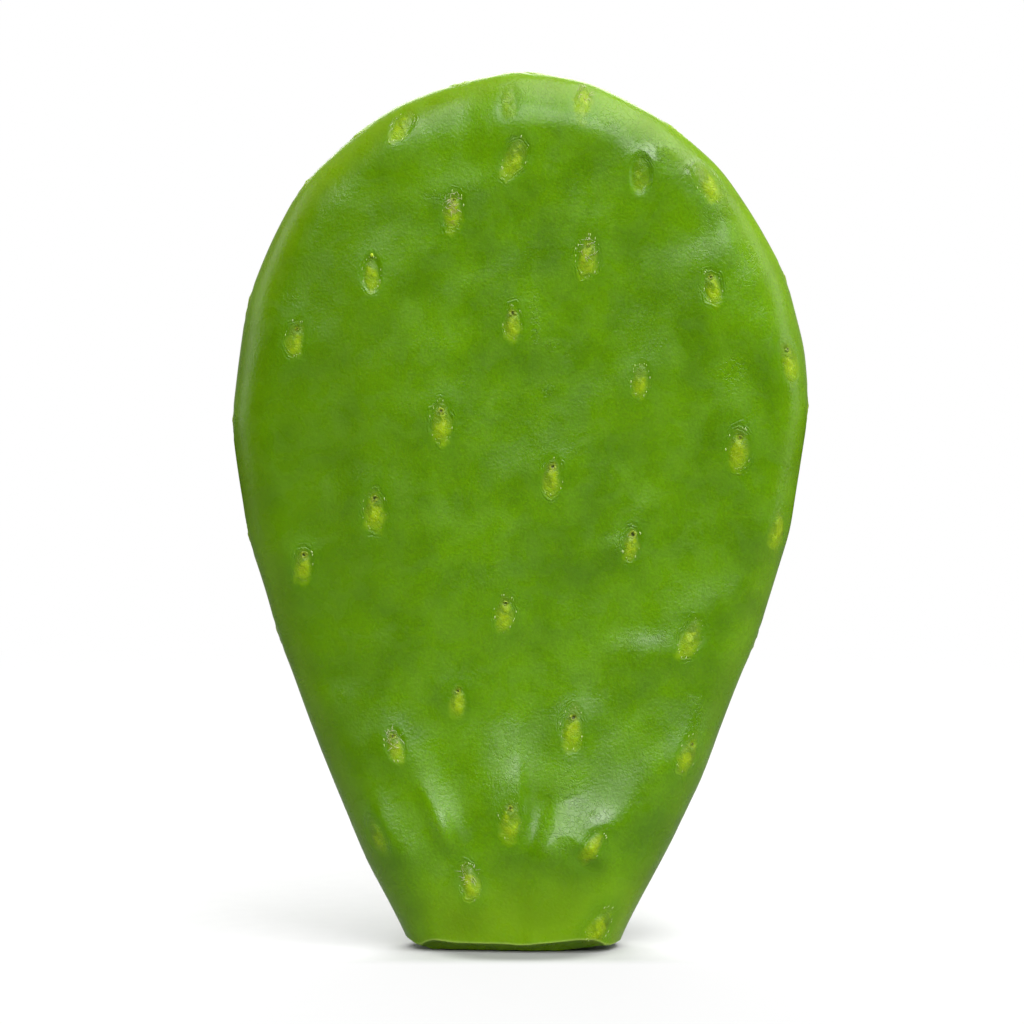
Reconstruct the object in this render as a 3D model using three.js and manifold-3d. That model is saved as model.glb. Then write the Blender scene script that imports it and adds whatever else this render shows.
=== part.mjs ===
// A prickly pear pad (nopal): one flat, egg-shaped stem segment, cut from the plant and cleaned of its spines.
// It stands on its cut end. Millimetres, +Z up, and the face that shows is towards -Y.
import * as THREE from 'three';
import * as BufferGeometryUtils from 'three/addons/utils/BufferGeometryUtils.js';
import Module from 'manifold-3d';

const wasm = await Module();
wasm.setup();

// ---- Driving dimensions ----

// The silhouette, as [x, z] points anticlockwise. The first and last few lie below the cut, in the part left behind.
const OUTLINE = [
  [0, -32], [13, -25], [19.7, -8], [23, 2], [36.6, 28.5], [48.9, 58.5], [58.7, 86], [64, 111], [65.2, 127],
  [62.4, 145.5], [55.4, 162.8], [44.2, 178.4], [30.5, 189.6], [15.5, 196.8],
  [0, 199.2], [-14, 196.9], [-26.5, 192.4], [-38.8, 184.2], [-49.8, 173.3], [-58.4, 158], [-63.4, 141], [-65.6, 118],
  [-62.3, 95], [-55.4, 71.5], [-46.2, 45.5], [-36.1, 21.7], [-26.4, 2], [-21.8, -9], [-14, -26],
];
const HEART = [0, 105]; // the point that the outline is measured round, [x, z]

const BASE_HALF = 10.9; // half the thickness at the joint, in the body and towards the far rim
const BODY_HALF = 7.1;
const RIM_HALF = 6.1;
const BASE_FROM = 18; // up to this height the base is as thick as the joint
const BASE_ENDS_AT = 64; // the height where it has run out into the body
const THINS_FROM = 105; // and where the body starts to thin towards the rim
const PAD_TOP = 200;
const DOME = 0.1; // the share of its thickness that the pad loses from the heart to where its edge rounds over
const BASE_ROUNDING = 14; // how far in from the rim the faces start to round over, at the joint, sides and top
const SIDE_ROUNDING = 9;
const TOP_ROUNDING = 13;
const TOP_ROUNDING_FROM = 130;
const BOW = 2.9; // how far the middle of the pad bows back from its two ends
const TWIST = 1.1; // how far one shoulder stands back and the other forward
const SHOULDER = [65, 160]; // where the twist is measured, [x, z]
const TWIST_PIVOT = 60; // the height that the twist turns round

const TUBERCLE_RISE = 0.9; // the low swelling that each areole sits on
const TUBERCLE_ACROSS = 5.8;
const TUBERCLE_ALONG = 7.5;
const RIDGE_RISE = 1.2; // near the base a ridge runs down from each swelling, more so the lower it is
const RIDGE_ACROSS = 3.7;
const RIDGES_BELOW = 95;
const RIDGES_MEET = [0, -5]; // the ridges run down towards this point in the joint, [x, z]
const RIDGE_STARTS = 8; // a ridge comes up within this distance of its areole
const RIDGE_FADES = 16; // and dies out between these distances below it
const RIDGE_ENDS = 36;
// Single swells and dips of the front, with their half widths, half heights and rises.
const SWELLS = [
  { at: [27, 62.5], across: 6.5, along: 5.5, rise: 1 },
  { at: [17, 53], across: 9, along: 8, rise: -0.9 },
  { at: [17, 27], across: 6, along: 4.2, rise: 1 },
  { at: [-1, 38], across: 3.6, along: 7, rise: 0.6 },
  { at: [-21, 33], across: 4.5, along: 8, rise: 0.7 },
  { at: [29, 38], across: 8, along: 6, rise: 0.5 },
  { at: [44, 165], across: 9, along: 7, rise: -0.4 },
];
// The slow unevenness of a face: waves of this rise, whose crests lie this far apart over x and over z.
const WAVES = [
  { rise: 0.32, acrossX: 94, acrossZ: 132 },
  { rise: 0.28, acrossX: 69, acrossZ: -69 },
  { rise: 0.2, acrossX: -58, acrossZ: 240 },
];
const RIM_SWELL = 0.55; // the bump that a rim areole makes in the silhouette
const RIM_SWELL_SPAN = 3.8;
const SWELLS_RIM_FROM = 0.9; // an areole of the front makes one too, from this share of the way to the rim

const AREOLE_HALF_ACROSS = 2.9; // the oval scar of a cleaned areole
const AREOLE_HALF_ALONG = 5;
const AREOLE_DEPTH = 0.95;
const AREOLE_SCATTER = 0.14; // share by which their sizes differ
const CUSHION_TOP_DEPTH = 0.08; // how far the cushion in the scar stays under the skin
const SEED = 4.2;

// The areoles of the front, in the slanting rows that they grow in. Each row runs from its upper right end down to
// the left, as [x, z, lean], where the lean is how many degrees the top of the areole tips to the right.
const FRONT_ROWS = [
  [[14, 193.5, 12], [-1.5, 180.4, 20], [-15.6, 168.5, 5], [-34, 154, 0], [-51.2, 139.4, 8]],
  [[27, 176.6, 0], [15, 158, 3], [-2, 143, 0], [-18.2, 120.5, 0], [-33.4, 100.5, 0], [-49.6, 88, 3]],
  [[42.5, 174.7, -24], [43.3, 151.2, -10], [27, 130, 5], [6.9, 108, 5], [-3.8, 77, 5], [-14.4, 57.2, 0],
    [-28.8, 47, -15]],
  [[61, 134.4, -15], [49.4, 114.4, 5], [25, 92.8, 8], [11.6, 50.8, 5], [-2.5, 30.5, 0], [-11.7, 16.3, -13]],
  [[58.6, 95.8, 5], [38.6, 71.3, 20], [38.1, 45, 25], [16.3, 24.6, 33], [18, 6.2, 35]],
  [[-27, 187.6, 26], [-3, 192.8, 0], [-33.1, 26.5, -25]],
];
// The areoles of the rim, as degrees anticlockwise round the heart from +X.
const RIM_PLACES = [-33, 16, 39, 67.5, 88.5, 99, 114.5, 125.5, 146, 167, 190, 211];
const BACK_SHIFT = 11; // the back has the same rows turned over and moved down half a step
const BACK_SCATTER = 2.2;
const LOWEST_BACK_AREOLE = 8;
const OUTERMOST_AREOLE = 0.93; // as a share of the way from the heart to the rim
const RIM_AREOLE_SIZE = 0.8; // as a share of those on the faces

// The knife strokes that took the pad off, each a plane that clears all below it: a point [x, y, z] on the plane, the
// way it climbs from there as degrees anticlockwise from +X, and how steeply.
const KNIFE_STROKES = [
  { at: [0, 0, 0], towards: 0, slope: 0 },
  { at: [2, -8.7, 0], towards: -102.5, slope: 40 },
  { at: [2, -8.7, 0], towards: -80, slope: 40 },
  { at: [9, 0, 0], towards: 0, slope: 7 },
  { at: [-20.5, 0, 0], towards: 180, slope: 22 },
];

const CELLS_ACROSS = 28; // how finely the faces are divided
const CELLS_ALONG = 35;
const RIM_CROWDING = 1.6; // above 1, the divisions crowd towards the rim
const STAMP_SIDES = 10;
const STAMP_CAP = 2.2;
// The rings of an areole, as shares of its half sizes and as heights over the skin: the shoulder of the cushion, the
// foot of the cushion at the bottom of the hollow, and the edge of the scar carried on up past the skin.
const STAMP_RINGS = [
  { across: 0.34, along: 0.5, height: -0.22 },
  { across: 0.68, along: 0.84, height: -AREOLE_DEPTH },
  { across: 1.22, along: 1.14, height: 1.2 },
];
const SMALLEST_DETAIL = 0.02; // edges that matter less than this are closed up

// ---- Small helpers ----

const { radToDeg, degToRad, smoothstep, lerp } = THREE.MathUtils;

/** A repeatable draw between -1 and 1, for item i and purpose k. */
function draw(i, k) {
  const v = Math.sin(i * 12.9898 + k * 78.233 + SEED) * 43758.5453;
  return 2 * (v - Math.floor(v)) - 1;
}

/** A bell that is 1 at zero and dies out within about three spans. */
const bell = (distance, span) => Math.exp(-0.5 * (distance / span) ** 2);

/** The difference between two angles in degrees, between -180 and 180. */
const turnBetween = (a, b) => THREE.MathUtils.euclideanModulo(a - b + 180, 360) - 180;

// ---- The outline, measured round the heart ----

const OUTLINE_SAMPLES = 720;
const outlineCurve = new THREE.CatmullRomCurve3(
  OUTLINE.map(([x, z]) => new THREE.Vector3(x - HEART[0], 0, z - HEART[1])), true, 'centripetal');
const outlineSamples = outlineCurve.getPoints(OUTLINE_SAMPLES)
  .map((p) => ({ angle: radToDeg(Math.atan2(p.z, p.x)), reach: Math.hypot(p.x, p.z) }))
  .sort((p, q) => p.angle - q.angle);

/** How far the smooth outline lies from the heart in one direction. */
function smoothReach(angle) {
  const last = outlineSamples.length - 1;
  let low = 0;
  let high = last;
  while (high - low > 1) {
    const middle = (low + high) >> 1;
    if (outlineSamples[middle].angle <= angle) low = middle;
    else high = middle;
  }
  const a = outlineSamples[low];
  const b = outlineSamples[high];
  const share = THREE.MathUtils.clamp((angle - a.angle) / (b.angle - a.angle || 1), 0, 1);
  return lerp(a.reach, b.reach, share);
}

/** The direction of a point from the heart in degrees, and its distance. */
function fromHeart(x, z) {
  const dx = x - HEART[0];
  const dz = z - HEART[1];
  return { angle: radToDeg(Math.atan2(dz, dx)), distance: Math.hypot(dx, dz) };
}

const frontPlaces = FRONT_ROWS.flat();
const swellAngles = frontPlaces
  .map(([x, z]) => fromHeart(x, z))
  .filter(({ angle, distance }) => distance > SWELLS_RIM_FROM * smoothReach(angle))
  .map(({ angle }) => angle)
  .concat(RIM_PLACES);

/** The outline with the bumps of the rim areoles. */
function reach(angle) {
  const smooth = smoothReach(angle);
  const bump = (place) => bell(degToRad(turnBetween(angle, place)) * smooth, RIM_SWELL_SPAN);
  return smooth + RIM_SWELL * swellAngles.reduce((sum, place) => sum + bump(place), 0);
}

/** How near to the rim a point is, 0 at the heart and 1 on the outline, and how many millimetres it has to go. */
function rimward(x, z) {
  const { angle, distance } = fromHeart(x, z);
  const whole = reach(angle);
  return { near: Math.min(1, distance / whole), left: Math.max(0, whole - distance) };
}

// ---- The areoles ----

const makeAreole = (x, z, lean, i) => ({ x, z, lean, size: 1 + AREOLE_SCATTER * draw(i, 2) });

const frontAreoles = frontPlaces.map(([x, z, lean], i) => makeAreole(x, z, lean, i));

/** The same rows turned over for the back, where they stay inside the rim and above the cut. */
const backAreoles = frontPlaces
  .map(([x, z, lean], i) => {
    const k = i + frontPlaces.length;
    return makeAreole(-x + BACK_SCATTER * draw(k, 3), z - BACK_SHIFT + BACK_SCATTER * draw(k, 4), -lean, k);
  })
  .filter(({ x, z }) => z > LOWEST_BACK_AREOLE && rimward(x, z).near < OUTERMOST_AREOLE);

// ---- The surface, as a formula ----

/** How far over the edge has rounded: 1 on the flat of a face and 0 on the rim, along a quarter of an ellipse. */
function edgeFall(z, left) {
  const lower = lerp(BASE_ROUNDING, SIDE_ROUNDING, smoothstep(z, BASE_FROM, BASE_ENDS_AT));
  const width = lerp(lower, TOP_ROUNDING, smoothstep(z, TOP_ROUNDING_FROM, PAD_TOP));
  return Math.sqrt(1 - (1 - Math.min(1, left / width)) ** 2);
}

/** Half the thickness of a pad with perfectly even faces, before its edge rounds over. */
function halfThickness(z, near) {
  const lower = lerp(BASE_HALF, BODY_HALF, smoothstep(z, BASE_FROM, BASE_ENDS_AT));
  const half = lerp(lower, RIM_HALF, smoothstep(z, THINS_FROM, PAD_TOP));
  return half * (1 - DOME * near ** 2);
}

/** The ridge that runs from a low areole down towards the joint. */
function ridge(x, z, areole) {
  const towardsX = RIDGES_MEET[0] - areole.x;
  const towardsZ = RIDGES_MEET[1] - areole.z;
  const whole = Math.hypot(towardsX, towardsZ);
  const dx = x - areole.x;
  const dz = z - areole.z;
  const down = (dx * towardsX + dz * towardsZ) / whole;
  const aside = (dx * towardsZ - dz * towardsX) / whole;
  const lowness = 1 - smoothstep(areole.z, 0, RIDGES_BELOW);
  const comesUp = smoothstep(down, -RIDGE_STARTS, RIDGE_STARTS);
  const diesOut = 1 - smoothstep(down, RIDGE_FADES, RIDGE_ENDS);
  return RIDGE_RISE * lowness * bell(aside, RIDGE_ACROSS) * comesUp * diesOut;
}

/** The swellings and ridges that the areoles of one face raise. */
function tubercles(x, z, areoles) {
  let rise = 0;
  for (const areole of areoles) {
    const lean = degToRad(areole.lean);
    const dx = x - areole.x;
    const dz = z - areole.z;
    const across = dx * Math.cos(lean) - dz * Math.sin(lean);
    const along = dx * Math.sin(lean) + dz * Math.cos(lean);
    rise += TUBERCLE_RISE * bell(across, TUBERCLE_ACROSS) * bell(along, TUBERCLE_ALONG) + ridge(x, z, areole);
  }
  return rise;
}

/** The single swells and dips of the front. */
function swells(x, z) {
  return SWELLS.reduce((sum, { at, across, along, rise }) => (
    sum + rise * bell(x - at[0], across) * bell(z - at[1], along)), 0);
}

/** The slow unevenness of a face. */
function waves(x, z, side) {
  const crest = ({ acrossX, acrossZ }) => Math.sin(2 * Math.PI * (x / acrossX + z / acrossZ) + 2 * side);
  return WAVES.reduce((sum, wave) => sum + wave.rise * crest(wave), 0);
}

/** The surface between the two faces, which bows and twists a little. */
function middleY(x, z) {
  const twist = (x / SHOULDER[0]) * ((z - TWIST_PIVOT) / (SHOULDER[1] - TWIST_PIVOT));
  return BOW * Math.sin((Math.PI * z) / PAD_TOP) + TWIST * twist;
}

/** y of the skin at [x, z]. side is -1 on the front and 1 on the back. */
function skinY(x, z, side) {
  const { near, left } = rimward(x, z);
  const fall = edgeFall(z, left);
  const front = side < 0;
  const raised = tubercles(x, z, front ? frontAreoles : backAreoles) + (front ? swells(x, z) : 0);
  const relief = raised + waves(x, z, side);
  return middleY(x, z) + side * fall * (halfThickness(z, near) + fall * relief);
}

// ---- Solids ----

/** Turns a closed three.js geometry into a Manifold solid. */
function solid(geometry) {
  const bare = geometry.clone();
  bare.deleteAttribute('normal');
  bare.deleteAttribute('uv');
  const merged = BufferGeometryUtils.mergeVertices(bare, 1e-4);
  return new wasm.Manifold(new wasm.Mesh({
    numProp: 3,
    vertProperties: new Float32Array(merged.attributes.position.array),
    triVerts: new Uint32Array(merged.index.array),
  }));
}

/** The pad's plain body: a square grid is spread over each face as a disc, and the two meet along the rim. */
function bodyGeometry() {
  const positions = [];
  const index = [];
  for (const side of [-1, 1]) {
    const first = positions.length / 3;
    for (let j = 0; j <= CELLS_ALONG; j++) {
      for (let i = 0; i <= CELLS_ACROSS; i++) {
        positions.push(...facePoint((2 * i) / CELLS_ACROSS - 1, (2 * j) / CELLS_ALONG - 1, side));
      }
    }
    for (let j = 0; j < CELLS_ALONG; j++) {
      for (let i = 0; i < CELLS_ACROSS; i++) {
        const a = first + j * (CELLS_ACROSS + 1) + i;
        const b = a + 1;
        const c = a + CELLS_ACROSS + 1;
        const d = c + 1;
        // The diagonals run towards the middle, so that no corner cell lies flat.
        const rising = (i < CELLS_ACROSS / 2) === (j < CELLS_ALONG / 2);
        const halves = rising ? [[a, b, d], [a, d, c]] : [[a, b, c], [b, d, c]];
        for (const [p, q, r] of halves) index.push(...(side < 0 ? [p, q, r] : [p, r, q]));
      }
    }
  }
  const geometry = new THREE.BufferGeometry();
  geometry.setAttribute('position', new THREE.Float32BufferAttribute(positions, 3));
  geometry.setIndex(index);
  return geometry;
}

/** The point of a face for a place in the square from -1 to 1. */
function facePoint(a, b, side) {
  const u = a * Math.sqrt(1 - b * b / 2);
  const v = b * Math.sqrt(1 - a * a / 2);
  const radius = Math.min(1, Math.hypot(u, v));
  const near = 1 - (1 - radius) ** RIM_CROWDING;
  const angle = Math.atan2(v, u);
  const distance = near * reach(radToDeg(angle));
  const x = HEART[0] + distance * Math.cos(angle);
  const z = HEART[1] + distance * Math.sin(angle);
  const onRim = Math.max(Math.abs(a), Math.abs(b)) > 1 - 1e-9;
  return [x, onRim ? middleY(x, z) : skinY(x, z, side), z];
}

/** A frame on the skin: across the areole, along it and out of the pad. */
function skinFrame(x, z, side, lean) {
  const step = 0.5;
  const slopeX = (skinY(x + step, z, side) - skinY(x - step, z, side)) / (2 * step);
  const slopeZ = (skinY(x, z + step, side) - skinY(x, z - step, side)) / (2 * step);
  const out = new THREE.Vector3(-slopeX, 1, -slopeZ).multiplyScalar(side).normalize();
  const along = new THREE.Vector3(Math.sin(degToRad(lean)), 0, Math.cos(degToRad(lean)));
  return frameAt(new THREE.Vector3(x, skinY(x, z, side), z), out, along);
}

/** A frame on the rim, facing away from the heart. */
function rimFrame(place) {
  const angle = degToRad(place);
  const away = new THREE.Vector3(Math.cos(angle), 0, Math.sin(angle));
  const point = away.clone().multiplyScalar(reach(place)).add(new THREE.Vector3(HEART[0], 0, HEART[1]));
  point.y = middleY(point.x, point.z);
  return frameAt(point, away, new THREE.Vector3(-away.z, 0, away.x));
}

function frameAt(point, out, along) {
  const across = new THREE.Vector3().crossVectors(along, out).normalize();
  const upward = new THREE.Vector3().crossVectors(out, across);
  return new THREE.Matrix4().makeBasis(across, upward, out).setPosition(point);
}

/**
 * The stamp that presses one areole into the skin: a stack of oval rings, from the top of the cushion in its middle,
 * down into the hollow round it and up past the edge of the scar, closed by a cap over the skin.
 */
function areoleStamp(frame, size) {
  const positions = [0, 0, -CUSHION_TOP_DEPTH];
  for (const { across, along, height } of STAMP_RINGS) {
    for (let i = 0; i < STAMP_SIDES; i++) {
      const angle = (2 * Math.PI * i) / STAMP_SIDES;
      positions.push(AREOLE_HALF_ACROSS * size * across * Math.cos(angle));
      positions.push(AREOLE_HALF_ALONG * size * along * Math.sin(angle), height);
    }
  }
  positions.push(0, 0, STAMP_CAP);
  const cap = positions.length / 3 - 1;
  const at = (ring, i) => 1 + ring * STAMP_SIDES + (i % STAMP_SIDES);
  const lastRing = STAMP_RINGS.length - 1;
  const index = [];
  for (let i = 0; i < STAMP_SIDES; i++) {
    index.push(0, at(0, i + 1), at(0, i), cap, at(lastRing, i), at(lastRing, i + 1));
    for (let ring = 0; ring < lastRing; ring++) {
      index.push(at(ring, i), at(ring, i + 1), at(ring + 1, i + 1), at(ring, i), at(ring + 1, i + 1), at(ring + 1, i));
    }
  }
  const geometry = new THREE.BufferGeometry();
  geometry.setAttribute('position', new THREE.Float32BufferAttribute(positions, 3));
  geometry.setIndex(index);
  return solid(geometry.applyMatrix4(frame));
}

/** All that lies below one knife stroke. */
function belowStroke({ at, towards, slope }) {
  const block = new THREE.BoxGeometry(400, 400, 100).translate(0, 0, -50);
  block.rotateY(-degToRad(slope)).rotateZ(degToRad(towards)).translate(...at);
  return solid(block);
}

function padSolid() {
  const places = [
    ...frontAreoles.map(({ x, z, lean, size }) => ({ frame: skinFrame(x, z, -1, lean), size })),
    ...backAreoles.map(({ x, z, lean, size }) => ({ frame: skinFrame(x, z, 1, lean), size })),
    ...RIM_PLACES.map((place, i) => ({ frame: rimFrame(place), size: RIM_AREOLE_SIZE + AREOLE_SCATTER * draw(i, 5) })),
  ];
  const stamps = places.map(({ frame, size }) => areoleStamp(frame, size)).reduce((a, b) => a.add(b));
  const knife = KNIFE_STROKES.map(belowStroke).reduce((a, b) => a.add(b));
  return solid(bodyGeometry()).subtract(stamps).subtract(knife).simplify(SMALLEST_DETAIL);
}

/** A three.js geometry from a Manifold solid. */
function geometryOf(manifold) {
  const mesh = manifold.getMesh();
  const geometry = new THREE.BufferGeometry();
  geometry.setAttribute('position', new THREE.BufferAttribute(new Float32Array(mesh.vertProperties), 3));
  geometry.setIndex(new THREE.BufferAttribute(new Uint32Array(mesh.triVerts), 1));
  geometry.computeVertexNormals();
  return geometry;
}

// ---- The object ----

const skin = new THREE.MeshStandardMaterial({ color: 0x62921c, roughness: 0.42, metalness: 0 });
const padGeometry = geometryOf(padSolid());
padGeometry.computeBoundingBox();
const middle = padGeometry.boundingBox.getCenter(new THREE.Vector3());
padGeometry.translate(-middle.x, -middle.y, 0);

const pad = new THREE.Mesh(padGeometry, skin);
pad.name = 'pad';

const nopal = new THREE.Group();
nopal.add(pad);
export default nopal;
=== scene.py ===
# %% [markdown]
# # A prickly pear pad
#
# A prickly pear grows in flat, egg-shaped stem segments. Each one is called a pad, and this one was cut
# off at the joint with a knife, cleaned of its spines and stood on its cut end.
#
# The solid model already has its size and its main shape. This script grows a finer skin on the same
# measures, fills the scars where the spines sat, finishes the cut and lights it all like a thing on a
# studio table.

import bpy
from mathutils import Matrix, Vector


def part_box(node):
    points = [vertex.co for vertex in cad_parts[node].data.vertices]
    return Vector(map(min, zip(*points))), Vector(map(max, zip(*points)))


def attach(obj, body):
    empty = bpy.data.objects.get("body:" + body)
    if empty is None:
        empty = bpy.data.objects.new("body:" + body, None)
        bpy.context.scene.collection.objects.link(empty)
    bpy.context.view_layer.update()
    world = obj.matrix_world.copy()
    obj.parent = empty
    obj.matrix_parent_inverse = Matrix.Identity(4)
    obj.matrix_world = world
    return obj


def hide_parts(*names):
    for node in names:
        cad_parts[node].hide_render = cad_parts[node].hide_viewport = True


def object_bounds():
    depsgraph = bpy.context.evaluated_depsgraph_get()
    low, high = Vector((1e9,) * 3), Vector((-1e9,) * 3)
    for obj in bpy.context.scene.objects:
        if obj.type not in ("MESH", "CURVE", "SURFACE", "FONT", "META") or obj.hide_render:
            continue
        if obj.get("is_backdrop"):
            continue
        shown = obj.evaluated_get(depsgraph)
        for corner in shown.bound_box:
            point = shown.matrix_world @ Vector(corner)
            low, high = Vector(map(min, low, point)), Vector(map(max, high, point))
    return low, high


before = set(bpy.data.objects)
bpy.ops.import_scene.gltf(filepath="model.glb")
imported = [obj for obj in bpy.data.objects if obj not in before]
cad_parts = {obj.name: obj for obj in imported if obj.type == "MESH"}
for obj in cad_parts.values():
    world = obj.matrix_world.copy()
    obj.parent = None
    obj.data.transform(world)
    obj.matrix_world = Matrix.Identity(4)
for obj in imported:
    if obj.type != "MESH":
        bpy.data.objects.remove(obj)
SOLID_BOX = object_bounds()
print("the solid measures", [round(1000 * side, 1) for side in SOLID_BOX[1] - SOLID_BOX[0]], "mm")

# %% [markdown]
# ## The camera
#
# The camera could stand close with a wide lens, but then the near edges of the pad would swell. A long
# lens from about a metre away keeps the outline true. It looks along +Y, straight at one face and a
# little down on it.

# %% The camera
import math

import bpy
from mathutils import Matrix, Vector

scene = bpy.context.scene
CAMERA_AIM = Vector((-0.0020, 0.0, 0.0997))
CAMERA_DISTANCE = 0.95
CAMERA_ELEVATION = 3.0
VIEW_WIDTH = 0.2339  # what the frame takes in at the distance of the pad
SENSOR_WIDTH = 36.0

camera = bpy.data.objects.new("camera", bpy.data.cameras.new("camera"))
scene.collection.objects.link(camera)
scene.camera = camera
camera.data.sensor_width = SENSOR_WIDTH
camera.data.lens = SENSOR_WIDTH * CAMERA_DISTANCE / VIEW_WIDTH
elevation = math.radians(CAMERA_ELEVATION)
towards_camera = Vector((0.0, -math.cos(elevation), math.sin(elevation)))
camera.location = CAMERA_AIM + CAMERA_DISTANCE * towards_camera
camera.rotation_euler = (-towards_camera).to_track_quat("-Z", "Y").to_euler()
print("lens", round(camera.data.lens, 1), "mm")

# %% [markdown]
# ## Measures
#
# A pad is easier to think about in millimetres, so the skin is worked out in millimetres and turned into
# metres when its mesh is done. Three small curves do nearly all the shaping: a straight blend, a soft
# step and a bell.

# %% Small helpers
import numpy as np

MM = 0.001
SEED = 4.2


def lerp(a, b, share):
    """Blends from a to b."""
    return a + (b - a) * share


def smoothstep(value, low, high):
    """Rises softly from 0 at low to 1 at high."""
    t = np.clip((value - low) / (high - low), 0.0, 1.0)
    return t * t * (3.0 - 2.0 * t)


def bell(distance, span):
    """1 at zero, dying out within about three spans."""
    return np.exp(-0.5 * (distance / span) ** 2)


def draw(i, k):
    """A repeatable draw between -1 and 1, for item i and purpose k."""
    v = math.sin(i * 12.9898 + k * 78.233 + SEED) * 43758.5453
    return 2.0 * (v - math.floor(v)) - 1.0


print("first draws:", [round(draw(i, 2), 3) for i in range(4)])

# %% [markdown]
# ## The outline
#
# Seen from the front, the pad is an egg on its narrow end. A few points, joined by a smooth closed curve,
# give its outline, and the curve is then measured as a reach: how far the edge lies from the heart of the
# pad in every direction. A reach is handy, because it says at once how near to the edge any other point
# is.

# %% The outline
OUTLINE = np.array([
    [0, -32], [13, -25], [19.7, -8], [23, 2], [36.6, 28.5], [48.9, 58.5], [58.7, 86], [64, 111], [65.2, 127],
    [62.4, 145.5], [55.4, 162.8], [44.2, 178.4], [30.5, 189.6], [15.5, 196.8], [0, 199.2], [-14, 196.9],
    [-26.5, 192.4], [-38.8, 184.2], [-49.8, 173.3], [-58.4, 158], [-63.4, 141], [-65.6, 118], [-62.3, 95],
    [-55.4, 71.5], [-46.2, 45.5], [-36.1, 21.7], [-26.4, 2], [-21.8, -9], [-14, -26],
])
HEART = np.array([0.0, 105.0])
OUTLINE_SAMPLES = 720


def smooth_loop(points, samples):
    """Points along a closed centripetal Catmull-Rom curve through the given ones."""
    place = np.arange(samples + 1) / samples * len(points)
    k = np.floor(place).astype(int)
    w = (place - k)[:, None]
    a, b, c, d = (points[(k + shift) % len(points)] for shift in (-1, 0, 1, 2))
    sides = ((a, b), (b, c), (c, d))
    before, between, after = (np.linalg.norm(q - p, axis=1)[:, None] ** 0.5 for p, q in sides)
    leaving = ((b - a) / before - (c - a) / (before + between) + (c - b) / between) * between
    arriving = ((c - b) / between - (d - b) / (between + after) + (d - c) / after) * between
    cubic = 2 * b - 2 * c + leaving + arriving
    square = 3 * c - 3 * b - 2 * leaving - arriving
    return b + leaving * w + square * w**2 + cubic * w**3


edge = smooth_loop(OUTLINE - HEART, OUTLINE_SAMPLES)
edge_angle = np.degrees(np.arctan2(edge[:, 1], edge[:, 0]))
edge_reach = np.hypot(edge[:, 0], edge[:, 1])


def smooth_reach(angle):
    """How far the smooth outline lies from the heart, for directions in degrees."""
    return np.interp(angle, edge_angle, edge_reach, period=360.0)


def from_heart(x, z):
    """The direction of a point from the heart in degrees, and its distance."""
    return np.degrees(np.arctan2(z - HEART[1], x - HEART[0])), np.hypot(x - HEART[0], z - HEART[1])


reaches = [round(float(smooth_reach(angle)), 1) for angle in (0, 90, 180, 270)]
print("the outline reaches", reaches, "mm from the heart")

# %% [markdown]
# ## The areoles
#
# An areole is the small oval cushion that carries a cactus's spines. They grow in slanting rows, and on a
# cleaned pad each leaves an oval scar. Every areole is listed here, as x, z and the degrees that its top
# leans to the right, because their uneven rows are what the eye recognises. The back has the same rows
# turned over, and a few more sit on the rim itself, where each pushes the outline out a little.

# %% The areoles of the front
FRONT_ROWS = [
    [(14, 193.5, 12), (-1.5, 180.4, 20), (-15.6, 168.5, 5), (-34, 154, 0), (-51.2, 139.4, 8)],
    [(27, 176.6, 0), (15, 158, 3), (-2, 143, 0), (-18.2, 120.5, 0), (-33.4, 100.5, 0), (-49.6, 88, 3)],
    [(42.5, 174.7, -24), (43.3, 151.2, -10), (27, 130, 5), (6.9, 108, 5), (-3.8, 77, 5), (-14.4, 57.2, 0),
     (-28.8, 47, -15)],
    [(61, 134.4, -15), (49.4, 114.4, 5), (25, 92.8, 8), (11.6, 50.8, 5), (-2.5, 30.5, 0),
     (-11.7, 16.3, -13)],
    [(58.6, 95.8, 5), (38.6, 71.3, 20), (38.1, 45, 25), (16.3, 24.6, 33), (18, 6.2, 35)],
    [(-27, 187.6, 26), (-3, 192.8, 0), (-33.1, 26.5, -25)],
]
RIM_PLACES = [-33, 16, 39, 67.5, 88.5, 99, 114.5, 125.5, 146, 167, 190, 211]  # degrees round the heart
RIM_SWELL = 0.4
RIM_SWELL_SPAN = 4.6
SWELLS_RIM_FROM = 0.9  # an areole of the face swells the rim if it lies further out than this

front_places = [place for row in FRONT_ROWS for place in row]
swell_angles = list(RIM_PLACES)
for x, z, lean in front_places:
    angle, distance = from_heart(x, z)
    if distance > SWELLS_RIM_FROM * smooth_reach(angle):
        swell_angles.append(float(angle))


def reach(angle):
    """The outline with the bumps of the rim areoles."""
    smooth = smooth_reach(angle)
    swelling = 0.0
    for place in swell_angles:
        turn = (angle - place + 180.0) % 360.0 - 180.0
        swelling = swelling + bell(np.radians(turn) * smooth, RIM_SWELL_SPAN)
    return smooth + RIM_SWELL * swelling


def rimward(x, z):
    """How near to the rim a point is, from 0 to 1, and how many millimetres it still has to go."""
    angle, distance = from_heart(x, z)
    whole = reach(angle)
    return np.minimum(1.0, distance / whole), np.maximum(0.0, whole - distance)


print(len(front_places), "areoles on the front;", len(swell_angles), "bumps on the rim")

# %% The areoles of the back
AREOLE_SCATTER = 0.14  # share by which the sizes of the scars differ
BACK_SHIFT = 11.0
BACK_SCATTER = 2.2
LOWEST_BACK_AREOLE = 8.0
OUTERMOST_AREOLE = 0.93

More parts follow.
